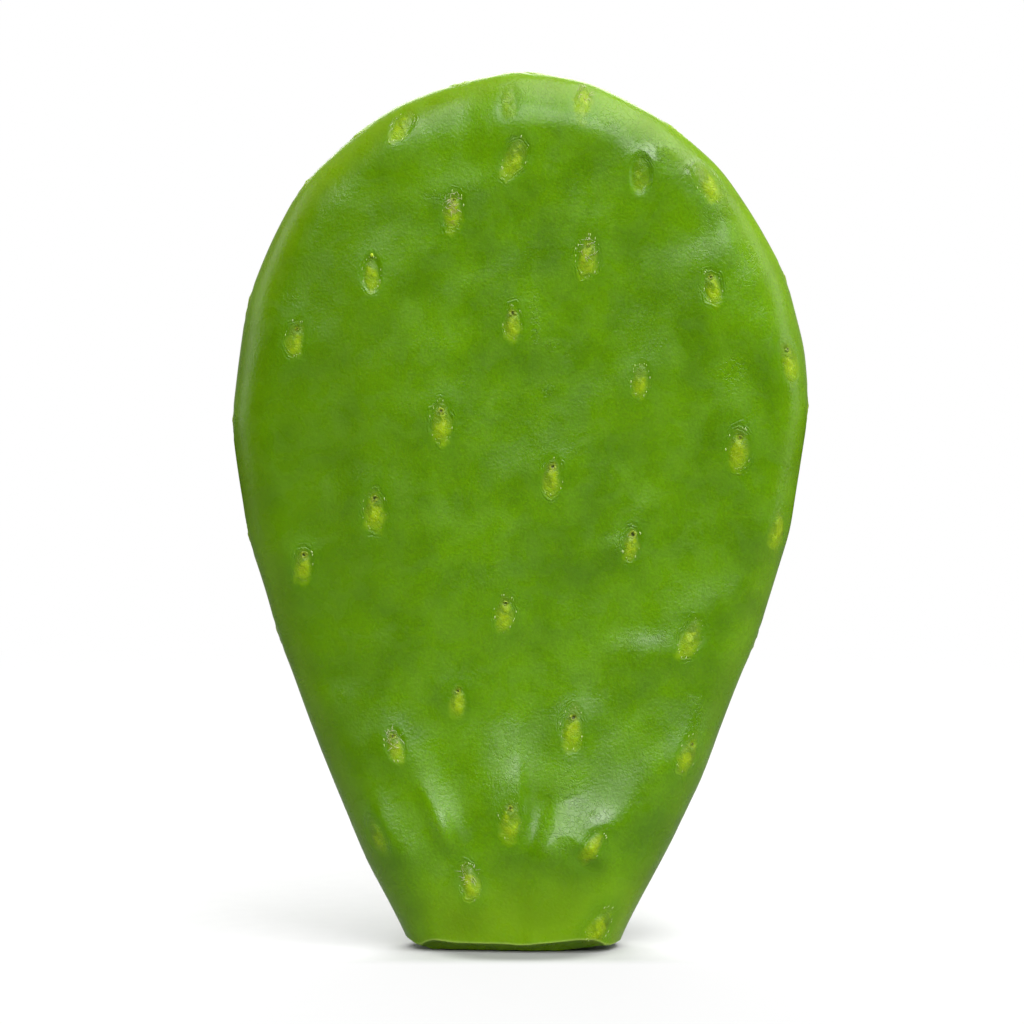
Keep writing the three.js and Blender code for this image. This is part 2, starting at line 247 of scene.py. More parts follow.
front_areoles = []
back_areoles = []
for i, (x, z, lean) in enumerate(front_places):
    front_areoles.append({"x": x, "z": z, "lean": lean, "size": 1 + AREOLE_SCATTER * draw(i, 2)})
    k = i + len(front_places)
    bx = -x + BACK_SCATTER * draw(k, 3)
    bz = z - BACK_SHIFT + BACK_SCATTER * draw(k, 4)
    if bz > LOWEST_BACK_AREOLE and rimward(bx, bz)[0] < OUTERMOST_AREOLE:
        back_areoles.append({"x": bx, "z": bz, "lean": -lean, "size": 1 + AREOLE_SCATTER * draw(k, 2)})
print(len(back_areoles), "areoles on the back")

# %% [markdown]
# ## The two faces
#
# The pad is thick at the joint and thins towards its far rim, where the faces turn over like the edge of
# a cushion. Each areole stands on a low swelling, and near the joint the swelling runs down into a ridge.
# Slow waves make the faces uneven, and the whole pad bows and twists a little, because it dried on one
# side first. The front also has long folds that run down towards the cut, where the flesh lost water and
# the skin slackened.
#
# This could be sculpted, but a formula gives the same face every time and can be asked for any point.

# %% Thickness
BASE_HALF, BODY_HALF, RIM_HALF = 10.9, 7.1, 6.1
BASE_FROM, BASE_ENDS_AT = 18.0, 64.0
THINS_FROM, PAD_TOP = 105.0, 200.0
DOME = 0.1
BASE_ROUNDING, SIDE_ROUNDING, TOP_ROUNDING = 14.0, 9.0, 13.0
TOP_ROUNDING_FROM = 130.0


def rounding(z):
    """How far in from the rim the faces start to round over."""
    lower = lerp(BASE_ROUNDING, SIDE_ROUNDING, smoothstep(z, BASE_FROM, BASE_ENDS_AT))
    return lerp(lower, TOP_ROUNDING, smoothstep(z, TOP_ROUNDING_FROM, PAD_TOP))


def edge_fall(z, left):
    """1 on the flat of a face and 0 on the rim, along a quarter of an ellipse."""
    return np.sqrt(1.0 - (1.0 - np.minimum(1.0, left / rounding(z))) ** 2)


def half_thickness(z, near):
    """Half the thickness of a pad with even faces, before its edge rounds over."""
    lower = lerp(BASE_HALF, BODY_HALF, smoothstep(z, BASE_FROM, BASE_ENDS_AT))
    half = lerp(lower, RIM_HALF, smoothstep(z, THINS_FROM, PAD_TOP))
    return half * (1.0 - DOME * near**2)


print("thickness at the joint, body and rim:", 2 * BASE_HALF, 2 * BODY_HALF, 2 * RIM_HALF, "mm")

# %% Swellings, waves and bow
TUBERCLE_RISE, TUBERCLE_ACROSS, TUBERCLE_ALONG = 0.9, 5.8, 7.5
RIDGE_RISE, RIDGE_ACROSS = 1.0, 3.7
RIDGES_BELOW = 95.0
RIDGES_MEET = (0.0, -5.0)  # the ridges run down towards this point in the joint
RIDGE_STARTS, RIDGE_FADES, RIDGE_ENDS = 8.0, 16.0, 36.0  # millimetres below the areole
# Slow waves of both faces: rise, and the spacing of the crests over x and over z.
WAVES = [(0.32, 94.0, 132.0), (0.28, 69.0, -69.0), (0.2, -58.0, 240.0)]
# Single swells and dips of the front: x, z, half width, half height and rise.
SWELLS = [
    (27.0, 60.0, 7.0, 6.0, 0.6), (29.0, 68.5, 7.0, 2.4, 0.5), (14.0, 54.0, 6.5, 6.0, -0.45),
    (17.0, 29.6, 3.4, 2.4, 0.7), (8.5, 23.0, 6.5, 3.8, 1.4), (44.0, 165.0, 9.0, 7.0, -0.4),
    (22.0, 92.0, 2.4, 1.8, 0.3), (10.0, 12.0, 8.0, 6.0, 0.8), (-7.0, 27.0, 3.0, 4.0, 0.4),
]
# Folds of the front. Each starts at one point, climbs towards another and then falls: x and z of both
# points, the rise, the length of the fall, and how far the fold spreads towards +X and towards -X.
FOLDS = [
    ((-26.6, 47.4), (-17.8, 27.0), 1.35, 7.0, 2.4, 1.3),
    ((-2.6, 63.0), (-0.8, 34.0), 1.25, 9.0, 1.5, 7.0),
    ((11.7, 46.4), (3.4, 17.0), 1.5, 12.0, 7.0, 1.7),
    ((41.5, 58.0), (16.0, 24.0), 1.4, 4.5, 3.2, 5.0),
    ((-31.5, 22.0), (-27.5, 4.0), 0.4, 4.5, 2.4, 1.4),
    ((5.0, 28.0), (2.6, 3.0), 0.8, 4.5, 6.5, 1.6),
    ((24.0, 192.0), (42.0, 175.0), 0.4, 4.5, 3.0, 1.4),
]
UNEVEN_WAVES = 26
UNEVEN_RISE, UNEVEN_LENGTH = 0.025, 12.0  # the rise of a wave of this length; a longer one rises higher
SHORTEST_WAVE, LONGEST_WAVE = 7.0, 19.0
BOW, TWIST = 2.9, 1.1
SHOULDER_X, SHOULDER_Z, TWIST_PIVOT = 65.0, 160.0, 60.0


def ridge(x, z, areole):
    """The ridge that runs from a low areole down towards the joint."""
    towards_x, towards_z = RIDGES_MEET[0] - areole["x"], RIDGES_MEET[1] - areole["z"]
    whole = math.hypot(towards_x, towards_z)
    dx, dz = x - areole["x"], z - areole["z"]
    down = (dx * towards_x + dz * towards_z) / whole
    aside = (dx * towards_z - dz * towards_x) / whole
    lowness = 1.0 - smoothstep(areole["z"], 0.0, RIDGES_BELOW)
    begun = smoothstep(down, -RIDGE_STARTS, RIDGE_STARTS)
    window = begun * (1.0 - smoothstep(down, RIDGE_FADES, RIDGE_ENDS))
    return RIDGE_RISE * lowness * bell(aside, RIDGE_ACROSS) * window


def tubercles(x, z, areoles):
    """The swellings and ridges that the areoles of one face raise."""
    rise = np.zeros_like(x)
    for areole in areoles:
        lean = math.radians(areole["lean"])
        dx, dz = x - areole["x"], z - areole["z"]
        across = dx * math.cos(lean) - dz * math.sin(lean)
        along = dx * math.sin(lean) + dz * math.cos(lean)
        rise += TUBERCLE_RISE * bell(across, TUBERCLE_ACROSS) * bell(along, TUBERCLE_ALONG)
        rise += ridge(x, z, areole)
    return rise


def soft_ovals(x, z, ovals):
    """Ovals that fade out all round, each with its own strength."""
    return sum(strength * bell(x - at_x, half_x) * bell(z - at_z, half_z)
               for at_x, at_z, half_x, half_z, strength in ovals)


def waves(x, z, side):
    """The slow unevenness of a face."""
    return sum(rise * np.sin(2 * math.pi * (x / over_x + z / over_z) + 2 * side)
               for rise, over_x, over_z in WAVES)


def folds(x, z):
    """The folds of the front."""
    total = np.zeros_like(x)
    for (start_x, start_z), (end_x, end_z), rise, fall, towards_right, towards_left in FOLDS:
        length = math.hypot(end_x - start_x, end_z - start_z)
        down_x, down_z = (end_x - start_x) / length, (end_z - start_z) / length
        down = (x - start_x) * down_x + (z - start_z) * down_z
        aside = (z - start_z) * down_x - (x - start_x) * down_z
        climb = smoothstep(down, 0.0, length) * (1.0 - smoothstep(down, length, length + fall))
        total += rise * climb * bell(aside, np.where(aside > 0.0, towards_right, towards_left))
    return total


def unevenness(x, z, side):
    """Small swells that run every way across a face."""
    rise = np.zeros_like(x)
    for i in range(UNEVEN_WAVES):
        length = lerp(SHORTEST_WAVE, LONGEST_WAVE, i / (UNEVEN_WAVES - 1))
        heading = math.pi * draw(i, 50 + side)
        along = (x * math.cos(heading) + z * math.sin(heading)) / length
        rise += UNEVEN_RISE * length / UNEVEN_LENGTH * np.sin(2 * math.pi * along + 9.0 * draw(i, 60 + side))
    return rise


def middle_y(x, z):
    """The surface between the two faces."""
    twist = (x / SHOULDER_X) * ((z - TWIST_PIVOT) / (SHOULDER_Z - TWIST_PIVOT))
    return BOW * np.sin(math.pi * z / PAD_TOP) + TWIST * twist


def skin_y(x, z, side):
    """y of the skin, with side -1 on the front and 1 on the back."""
    near, left = rimward(x, z)
    edge = edge_fall(z, left)
    relief = tubercles(x, z, front_areoles if side < 0 else back_areoles) + waves(x, z, side)
    relief = relief + unevenness(x, z, side)
    if side < 0:
        relief = relief + soft_ovals(x, z, SWELLS) + folds(x, z)
    return middle_y(x, z) + side * edge * (half_thickness(z, near) + edge * relief)


at_heart = [round(float(skin_y(HEART[:1], HEART[1:], side)[0]), 2) for side in (-1, 1)]
print("front and back at the heart:", at_heart, "mm")

# %% [markdown]
# ## Where each scar sits
#
# Every areole gets a small frame of its own on the skin: out of the pad, up along the scar and across it.
# The hollow of the scar, the cushion in it and the colours round it are all laid out in that frame, so
# they hold together.

# %% Frames on the skin
SLOPE_STEP = 0.5
RIM_AREOLE_SIZE = 0.8


def frame_on(point, out, along):
    """Makes across, along and out square to each other."""
    out = out / np.linalg.norm(out)
    across = np.cross(along, out)
    across /= np.linalg.norm(across)
    return {"point": point, "across": across, "along": np.cross(out, across), "out": out}


def face_frame(areole, side):
    """The frame of an areole on one face."""
    x, z = areole["x"], areole["z"]
    xs = np.array([x, x + SLOPE_STEP, x - SLOPE_STEP, x, x])
    zs = np.array([z, z, z, z + SLOPE_STEP, z - SLOPE_STEP])
    y, right, left, up, down = skin_y(xs, zs, side)
    out = side * np.array([(left - right) / (2 * SLOPE_STEP), 1.0, (down - up) / (2 * SLOPE_STEP)])
    lean = math.radians(areole["lean"])
    return frame_on(np.array([x, y, z]), out, np.array([math.sin(lean), 0.0, math.cos(lean)]))


def rim_frame(place):
    """The frame of an areole on the rim, facing away from the heart."""
    away = np.array([math.cos(math.radians(place)), 0.0, math.sin(math.radians(place))])
    point = away * reach(place) + np.array([HEART[0], 0.0, HEART[1]])
    point[1] = middle_y(point[0], point[2])
    return frame_on(point, away, np.array([-away[2], 0.0, away[0]]))


scars = []
for side, areoles in ((-1, front_areoles), (1, back_areoles)):
    for areole in areoles:
        scars.append({**face_frame(areole, side), "size": areole["size"], "side": side})
for i, place in enumerate(RIM_PLACES):
    scars.append({**rim_frame(place), "size": RIM_AREOLE_SIZE + AREOLE_SCATTER * draw(i, 5), "side": 0})
print(len(scars), "scars in all")

# %% [markdown]
# ## Points for the skin
#
# A plain grid would waste its points on the flats and run short at the rim, where the face turns over,
# and in the small scars. So each face is first unrolled: near the rim, distance is measured along the
# rounded edge instead of across the picture. Points are strewn evenly over the unrolled face, with tight
# oval rings round every scar, and joined by a Delaunay triangulation, which makes the best-shaped
# triangles that those points allow.

# %% Unrolling a face
ROLLED_HALF = 7.0  # half the thickness at the edge, as far as the unrolling needs it


def edge_rolls(angle):
    """The reach in a direction, the width of the rounded edge and its length when unrolled."""
    whole = reach(angle)
    width = rounding(HEART[1] + whole * np.sin(np.radians(angle)))
    return whole, width, math.pi / 2 * np.sqrt((width**2 + ROLLED_HALF**2) / 2)


def polar(distance, angle):
    """Points at a distance in directions in degrees."""
    return np.stack([distance * np.cos(np.radians(angle)), distance * np.sin(np.radians(angle))], axis=-1)


def unroll(x, z):
    """Moves points of a face to the unrolled face."""
    angle, distance = from_heart(x, z)
    whole, width, length = edge_rolls(angle)
    turned = np.arccos(1.0 - np.clip((whole - distance) / width, 0.0, 1.0))
    rolled_out = whole - width + (1 - turned / (math.pi / 2)) * length
    return polar(np.where(whole - distance < width, rolled_out, distance), angle)


def roll(flat_points):
    """Moves points of the unrolled face back to x and z."""
    angle = np.degrees(np.arctan2(flat_points[:, 1], flat_points[:, 0]))
    flat = np.hypot(flat_points[:, 0], flat_points[:, 1])
    whole, width, length = edge_rolls(angle)
    turned = (1.0 - np.clip((flat - whole + width) / length, 0.0, 1.0)) * math.pi / 2
    distance = np.where(flat > whole - width, whole - width * (1 - np.cos(turned)), flat)
    return (HEART + polar(distance, angle)).T


def flat_edge(angle):
    """The edge of the unrolled face."""
    whole, width, length = edge_rolls(angle)
    return whole - width + length


reaches = [round(float(measure(0.0)), 1) for measure in (reach, flat_edge)]
print("from the heart to the right edge, rolled and unrolled:", reaches, "mm")

# %% Where the points are dense
SCAR_HALF_ACROSS, SCAR_HALF_ALONG = 2.75, 4.85
PLAIN_SPACING = 1.2
SCAR_SPACING = 0.36
SCAR_RINGS = [  # as shares of the scar
    0.1, 0.21, 0.32, 0.43, 0.54, 0.65, 0.75, 0.84, 0.92, 1.0, 1.08, 1.17, 1.28, 1.42, 1.62,
]
RINGS_COARSEN_FROM, RINGS_COARSEN_BY = 1.05, 3.0
SCAR_ZONE = 1.78  # no other points lie nearer to the middle of a scar
EDGE_SPACING = 0.5
EDGE_BOTTOM, EDGE_TOP = -2.0, 5.0  # between these heights the skin is set as densely as EDGE_SPACING


def flat_scar(scar):
    """The centre, direction and size of a scar on the unrolled face."""
    x, z = scar["point"][0], scar["point"][2]
    along = scar["along"][[0, 2]]
    along = along / np.linalg.norm(along)
    across = np.array([along[1], -along[0]])
    return {"centre": unroll(x, z), "along": along, "across": across, "size": scar["size"]}


def scar_distance(points, flat):
    """How far points lie from the middle of a scar, where 1 is its border."""
    d = points - flat["centre"]
    across = d @ flat["across"] / (SCAR_HALF_ACROSS * flat["size"])
    along = d @ flat["along"] / (SCAR_HALF_ALONG * flat["size"])
    return np.hypot(across, along)


def scar_rings(flat):
    """Oval rings of points round a scar, coarser outside it."""
    rings = []
    for number, share in enumerate(SCAR_RINGS):
        half_across = SCAR_HALF_ACROSS * flat["size"] * share
        half_along = SCAR_HALF_ALONG * flat["size"] * share
        length = math.pi * (3 * (half_across + half_along)
                            - math.sqrt((3 * half_across + half_along) * (half_across + 3 * half_along)))
        spacing = SCAR_SPACING * max(1.0, 1.0 + RINGS_COARSEN_BY * (share - RINGS_COARSEN_FROM))
        count = max(5, round(length / spacing))
        turn = 2 * math.pi * (np.arange(count) + 0.5 * (number % 2)) / count
        rings.append(flat["centre"] + np.outer(half_across * np.cos(turn), flat["across"])
                     + np.outer(half_along * np.sin(turn), flat["along"]))
    return np.concatenate(rings)


flat_scars = {side: [flat_scar(scar) for scar in scars if scar["side"] in (side, 0)] for side in (-1, 1)}
print("rings round one scar:", len(scar_rings(flat_scars[-1][0])), "points")

# %% Points along the rim
RIM_SAMPLES = 20000
FAR = 9.0  # stands for any distance too great to matter
DENSE_WITHIN, PLAIN_BEYOND = 1.2, 2.4  # in scars, from the middle of the nearest one

turn = np.linspace(-180.0, 180.0, RIM_SAMPLES, endpoint=False)
rim_line = polar(flat_edge(turn), turn)
nearest = np.full(RIM_SAMPLES, FAR)
for flat in flat_scars[-1] + flat_scars[1]:
    nearest = np.minimum(nearest, scar_distance(rim_line, flat))
spacing = lerp(SCAR_SPACING, PLAIN_SPACING, smoothstep(nearest, DENSE_WITHIN, PLAIN_BEYOND))
steps = np.linalg.norm(np.roll(rim_line, -1, axis=0) - rim_line, axis=1) / spacing
travelled = np.concatenate([[0.0], np.cumsum(steps)])
rim_count = round(travelled[-1])
rim_turn = np.interp(np.arange(rim_count) / rim_count * travelled[-1], travelled, np.append(turn, 180.0))
rim_flat = polar(flat_edge(rim_turn), rim_turn)
print(rim_count, "points along the rim")

# %% Points and triangles of one face
from mathutils.geometry import delaunay_2d_cdt

JITTER = 0.12  # as a share of the spacing, so that no row of points shows as a line
KEEP_INSIDE = 1  # asks Delaunay for the triangles inside the loop only
SAME_POINT = 1e-7
CLEAR_OF_LOOP = 0.6  # as a share of the spacing, for the points next to a loop
SKIN_SEED = 7


def even_points(low, high, spacing, random):
    """A slightly shaken triangular grid over a box."""
    row_height = spacing * math.sqrt(3) / 2
    rows = np.arange(low[1], high[1], row_height)
    columns = np.arange(low[0], high[0], spacing)
    x, z = np.meshgrid(columns, rows)
    x = x + spacing / 2 * (np.arange(len(rows)) % 2)[:, None]
    points = np.stack([x.ravel(), z.ravel()], axis=-1)
    return points + random.uniform(-JITTER, JITTER, points.shape) * spacing


def near_the_cut(flat_points):
    """Which points lie so close to the cut that they are set densely."""
    height = roll(flat_points)[1]
    return (height > EDGE_BOTTOM) & (height < EDGE_TOP)


def face_points(side, random):
    """The unrolled points of one face, without those of the rim."""
    kept = []
    for flat in flat_scars[side]:
        ring_points = scar_rings(flat)
        for earlier in flat_scars[side][:len(kept)]:
            ring_points = ring_points[scar_distance(ring_points, earlier) > SCAR_ZONE]
        kept.append(ring_points)
    low, high = rim_flat.min(axis=0), rim_flat.max(axis=0)
    plain = even_points(low, high, PLAIN_SPACING, random)
    by_the_cut = even_points(low, (high[0], EDGE_TOP - HEART[1]), EDGE_SPACING, random)
    plain = np.concatenate([plain[~near_the_cut(plain)], by_the_cut[near_the_cut(by_the_cut)]])
    for flat in flat_scars[side]:
        plain = plain[scar_distance(plain, flat) > SCAR_ZONE]
    points = np.concatenate(kept + [plain])
    angle = np.degrees(np.arctan2(points[:, 1], points[:, 0]))
    gap = np.interp(angle, turn, spacing, period=360.0) * CLEAR_OF_LOOP
    return points[np.hypot(points[:, 0], points[:, 1]) < flat_edge(angle) - gap]


def face_mesh(side, random):
    """x, y and z of one face, rim first, and its triangles."""
    flat = np.concatenate([rim_flat, face_points(side, random)])
    loop = [list(range(rim_count))]
    found = delaunay_2d_cdt([Vector(p) for p in flat.tolist()], [], loop, KEEP_INSIDE, SAME_POINT)
    flat = np.array([tuple(p) for p in found[0]])
    x, z = roll(flat)
    y = skin_y(x, z, side)
    y[:rim_count] = middle_y(x[:rim_count], z[:rim_count])
    return np.stack([x, y, z], axis=-1), np.array(found[2])


random = np.random.default_rng(SKIN_SEED)
faces = {side: face_mesh(side, random) for side in (-1, 1)}
print("points and triangles of each face:", [[len(part) for part in faces[side]] for side in (-1, 1)])

# %% [markdown]
# ## The hollow of a scar
#
# When the spines are scraped off, the areole sinks into an oval hollow, and in the hollow stays a lumpy
# cushion of young tissue, narrower at its top end, where the spines came out of a socket. No two are
# alike: some hollows are deep craters, some cushions are flat, some sockets have dried. The hollow and
# the cushion belong to the skin, so they are pressed into its points, along the scar's own frame, and
# blend into it without a seam.

# %% Places in the scars
BORDER_WAVER = 0.09
SAME_SKIN = 4.0  # a point further than this above or below a scar belongs to the other face


def scar_places(points):
    """Each point's place in the nearest scar: across, along and the distance, where 1 is the border."""
    place = np.full((len(points), 3), FAR)
    owner = np.full(len(points), -1)
    for number, scar in enumerate(scars):
        d = points - scar["point"]
        across = d @ scar["across"] / (SCAR_HALF_ACROSS * scar["size"])
        along = d @ scar["along"] / (SCAR_HALF_ALONG * scar["size"])
        turn = np.arctan2(along, across)
        waver = sum(draw(number, 10 + n) * np.sin(n * turn + 3 * draw(number, 20 + n)) / n
                    for n in (2, 3, 4))
        distance = np.hypot(across, along) * (1 + BORDER_WAVER * waver)
        closer = (distance < place[:, 2]) & (np.abs(d @ scar["out"]) < SAME_SKIN)
        place[closer] = np.stack([across, along, distance], axis=-1)[closer]
        owner[closer] = number
    return place, owner


print("a scar's border wavers by", BORDER_WAVER)

# %% What each scar is like
# For each scar of the front, in the order of FRONT_ROWS: the depth of its hollow, the height of its
# cushion, the width of its socket and its dryness. The scars of the back and the rim have theirs drawn or
# in common.
CHARACTERS = [
    (0.5, 0.5, 0.0, 0.3), (1.2, 1.2, 0.0, 0.1), (0.9, 1.1, 0.55, 1.0), (1.5, 0.8, 0.0, 0.05),
    (0.6, 0.8, 0.45, 0.0), (2.4, 0.3, 0.0, 0.0), (0.9, 1.1, 0.4, 0.35), (0.9, 1.0, 0.8, 0.15),
    (0.8, 0.9, 0.8, 0.05), (0.8, 0.8, 0.8, 0.05), (0.8, 0.6, 0.8, 0.05), (1.1, 0.7, 0.0, 0.0),
    (1.1, 0.9, 0.6, 0.1), (0.7, 0.8, 0.0, 0.1), (0.8, 0.9, 0.9, 0.1), (0.6, 0.7, 0.6, 0.1),
    (0.4, 0.6, 0.6, 0.0), (1.0, 0.5, 0.7, 0.4), (0.5, 0.7, 0.5, 0.1), (0.8, 0.8, 0.5, 0.1),
    (0.9, 0.9, 0.9, 0.1), (0.7, 1.0, 0.8, 0.05), (0.6, 1.1, 0.6, 0.1), (0.7, 0.9, 0.0, 0.3),
    (0.4, 0.6, 0.0, 0.0), (0.8, 1.0, 0.0, 0.1), (0.6, 0.8, 0.4, 0.05), (0.6, 0.9, 0.0, 0.0),
    (0.6, 0.9, 0.0, 0.0), (0.8, 0.6, 0.0, 0.1), (0.5, 0.25, 0.0, 0.0), (0.8, 0.3, 0.0, 0.0),
]
RIM_CHARACTER = (0.5, 0.35, 0.0, 0.2)


def character(number, scar):
    """A scar's own character: listed, or drawn."""
    if scar["side"] == 0:
        return RIM_CHARACTER
    if number < len(CHARACTERS):
        return CHARACTERS[number]
    socket = 0.7 + 0.2 * draw(number, 34) if draw(number, 33) > 0.0 else 0.0
    hollow, cushion = 0.8 + 0.4 * draw(number, 31), 0.85 + 0.2 * draw(number, 32)
    return hollow, cushion, socket, max(0.0, 0.4 * draw(number, 35))


characters = np.array([character(number, scar) for number, scar in enumerate(scars)])
hollow_share, cushion_share, socket_share, dryness = characters.T
print(int((socket_share > 0).sum()), "scars still show a socket")

# %% Pressing the hollows and raising the cushions
HOLLOW_DEPTH = 0.26
CUSHION_RISE = 0.42
CUSHION_HALF_ACROSS, CUSHION_HALF_ALONG = 0.66, 0.86  # as shares of the scar
CUSHION_TAPER, CUSHION_LOW = 0.22, 0.06  # it narrows upwards, and its middle sits a little low
CUSHION_ROUNDNESS = 1.15  # the power that its dome is raised to
HOLLOW_FLOOR, HOLLOW_EDGE = 0.62, 1.2  # it is deepest within the first and ends at the second
TOUCHED_WITHIN = 2.0  # times the distance of its border, a scar changes the skin no further out
LUMP_RISE = 0.13
SOCKET_AT = 0.47  # up the scar, as a share of its half length
SOCKET_DEPTH, SOCKET_SPAN = 0.55, 0.42  # millimetres


def cushion_places(place):
    """How far out in the cushion each point is, where 1 is its foot."""
    across, along, distance = place.T
    width = CUSHION_HALF_ACROSS * (1.0 - CUSHION_TAPER * np.clip(along, -1.0, 1.0))
    out_in = np.hypot(across / width, (along + CUSHION_LOW) / CUSHION_HALF_ALONG)
    return np.where(distance < TOUCHED_WITHIN, out_in, FAR)


lump_shifts = np.array([[draw(number, purpose) for purpose in (41, 42, 43, 44)]
                        for number in range(len(scars))])


def scar_heights(place, owner, with_socket=True):
    """How far the skin stands out of a scar's own plane, in millimetres."""
    across, along, distance = place.T
    dome = np.maximum(0.0, 1.0 - cushion_places(place) ** 2) ** CUSHION_ROUNDNESS
    shift = 5 * lump_shifts[owner].T
    broad = np.sin(4.3 * across + shift[0]) * np.sin(7.1 * along + shift[1])
    fine = np.sin(9.7 * across + 3.1 * along + shift[2])
    fine = fine * np.sin(15.3 * along - 2.7 * across + shift[3])
    lumps = LUMP_RISE * (broad + 0.6 * fine) * dome
    hollow = -HOLLOW_DEPTH * hollow_share[owner] * (1.0 - smoothstep(distance, HOLLOW_FLOOR, HOLLOW_EDGE))
    heights = hollow + CUSHION_RISE * cushion_share[owner] * dome + lumps
    if with_socket:
        aside, above = across * SCAR_HALF_ACROSS, (along - SOCKET_AT) * SCAR_HALF_ALONG
        pit = bell(np.hypot(aside, above), SOCKET_SPAN)
        heights = heights - SOCKET_DEPTH * (socket_share[owner] > 0) * pit
    return heights


def press_scars(points):
    """Sinks each hollow and raises the cushion in it."""
    place, owner = scar_places(points)
    out = np.array([scar["out"] for scar in scars])[owner]
    touched = ((owner >= 0) & (place[:, 2] < TOUCHED_WITHIN))[:, None]
    return points + np.where(touched, scar_heights(place, owner)[:, None] * out, 0.0)


pressed = {side: press_scars(faces[side][0]) for side in (-1, 1)}
largest_move = max(np.abs(pressed[side] - faces[side][0]).max() for side in (-1, 1))
print("largest move", round(float(largest_move), 2), "mm")

# %% [markdown]
# ## One closed skin, and the knife
#
# The two faces share the points of the rim, so they join without a seam. The pad came off its plant in a
# few strokes of a knife: one level cut that it stands on, and slanting ones that took off the front edge,
# the right end and the corners. Each stroke is a plane here. A boolean could cut them, but slicing with a
# plane and filling the opening keeps the skin's triangles untouched and gives each cut face points of its
# own.

# %% Joining the faces
import bmesh


def joined(front, back):
    """One bmesh from both faces, with the rim shared."""
    bm = bmesh.new()
    back_points = back[0][rim_count:]
    verts = [bm.verts.new(p) for p in np.concatenate([front[0], back_points]).tolist()]
    offset = len(front[0]) - rim_count
    for triangle in front[1].tolist():
        bm.faces.new([verts[i] for i in triangle])
    for triangle in back[1].tolist():
        bm.faces.new([verts[i if i < rim_count else i + offset] for i in reversed(triangle)])
    return bm


skin = joined((pressed[-1], faces[-1][1]), (pressed[1], faces[1][1]))
bmesh.ops.recalc_face_normals(skin, faces=skin.faces)
print("open edges before the cut:", sum(1 for edge in skin.edges if len(edge.link_faces) != 2))

# %% The knife strokes
# Each stroke is a point on its plane, the direction in which the plane climbs, in degrees round from +X,
# and how steeply it climbs.
KNIFE_STROKES = [
    ((0, 0, 0), 0, 0),
    ((2, -9.2, 0), -97, 40),
    ((2, -9.2, 0), -85, 40),
    ((9, 0, 0), 0, 7),
    ((-20.5, 0, 0), 180, 22),
    ((-21.5, -7.0, 0), -135, 45),
    ((18.2, -7.2, 0), -50, 35),
]
CUT_SPACING = 0.5
ON_THE_PLANE = 1e-5
SKIN, FLESH = 0, 1  # the two material slots


def border_loop(bm):
    """The open border of a mesh, in order."""
    edges = [edge for edge in bm.edges if len(edge.link_faces) == 1]
    following = {}
    for edge in edges:
        loop = edge.link_faces[0].loops[0]
        while loop.edge != edge:
            loop = loop.link_loop_next
        following[loop.link_loop_next.vert] = loop.vert
    start = edges[0].verts[0]
    ordered = [start]
    while following[ordered[-1]] != start:
        ordered.append(following[ordered[-1]])
    return ordered


def close_cut(bm, point, normal, random):
    """Fills the opening that a stroke left with small triangles of flesh."""
    border = border_loop(bm)
    right = normal.orthogonal().normalized()
    upward = normal.cross(right)
    flat = np.array([((v.co - point).dot(right), (v.co - point).dot(upward)) for v in border])
    inner = even_points(flat.min(axis=0), flat.max(axis=0), CUT_SPACING, random)
    gaps = np.linalg.norm(inner[:, None, :] - flat[None, :, :], axis=2).min(axis=1)
    inner = inner[gaps > CLEAR_OF_LOOP * CUT_SPACING]
    corners = [Vector(p) for p in np.concatenate([flat, inner]).tolist()]
    found = delaunay_2d_cdt(corners, [], [list(range(len(border)))], KEEP_INSIDE, SAME_POINT)
    verts = list(border)
    for p in found[0][len(border):]:
        verts.append(bm.verts.new(point + right * p[0] + upward * p[1]))
    for triangle in found[2]:
        face = bm.faces.new([verts[i] for i in triangle])
        face.material_index = FLESH
        face.normal_update()
        if face.normal.dot(normal) > 0:
            face.normal_flip()
    for vert in verts[len(border):]:
        if not vert.link_faces:
            bm.verts.remove(vert)


for at, towards, slope in KNIFE_STROKES:
    climb, heading = math.radians(slope), math.radians(towards)
    leaning = -math.sin(climb)
    upright = Vector((leaning * math.cos(heading), leaning * math.sin(heading), math.cos(climb)))
    geometry = skin.verts[:] + skin.edges[:] + skin.faces[:]
    bmesh.ops.bisect_plane(skin, geom=geometry, dist=ON_THE_PLANE, plane_co=at, plane_no=upright,
                           clear_inner=True)
    close_cut(skin, Vector(at), upright, random)
print("open edges after the cut:", sum(1 for edge in skin.edges if len(edge.link_faces) != 2))

# %% [markdown]
# ## Finishing the cut
#
# Under its skin a pad is soft, wet flesh. After a cut the skin stays tight while the flesh shrinks back
# from it, so the skin stands round the cut as a thin rind, and the knife leaves fine steps across the
# flesh.

# %% Sinking the flesh
from mathutils import noise
from mathutils.kdtree import KDTree

FLESH_SINKS = 0.26
RIND_WIDTH, SUNK_FROM = 0.2, 1.65  # from the skin: where the flesh starts to sink, and where it is sunk
FLESH_LUMP = 0.16
FLESH_LUMP_SIZE = 3.1
KNIFE_STEP = 0.05
KNIFE_STEP_SIZE, KNIFE_STEP_STRETCH = 0.9, 10  # the steps are this many times longer from left to right

cut_border = [v for v in skin.verts if {face.material_index for face in v.link_faces} == {SKIN, FLESH}]
border_tree = KDTree(len(cut_border))
for i, vert in enumerate(cut_border):
    border_tree.insert(vert.co, i)
border_tree.balance()


def from_rind(point):
    """How far a point of the flesh lies from the skin round it."""
    return border_tree.find(point)[2]


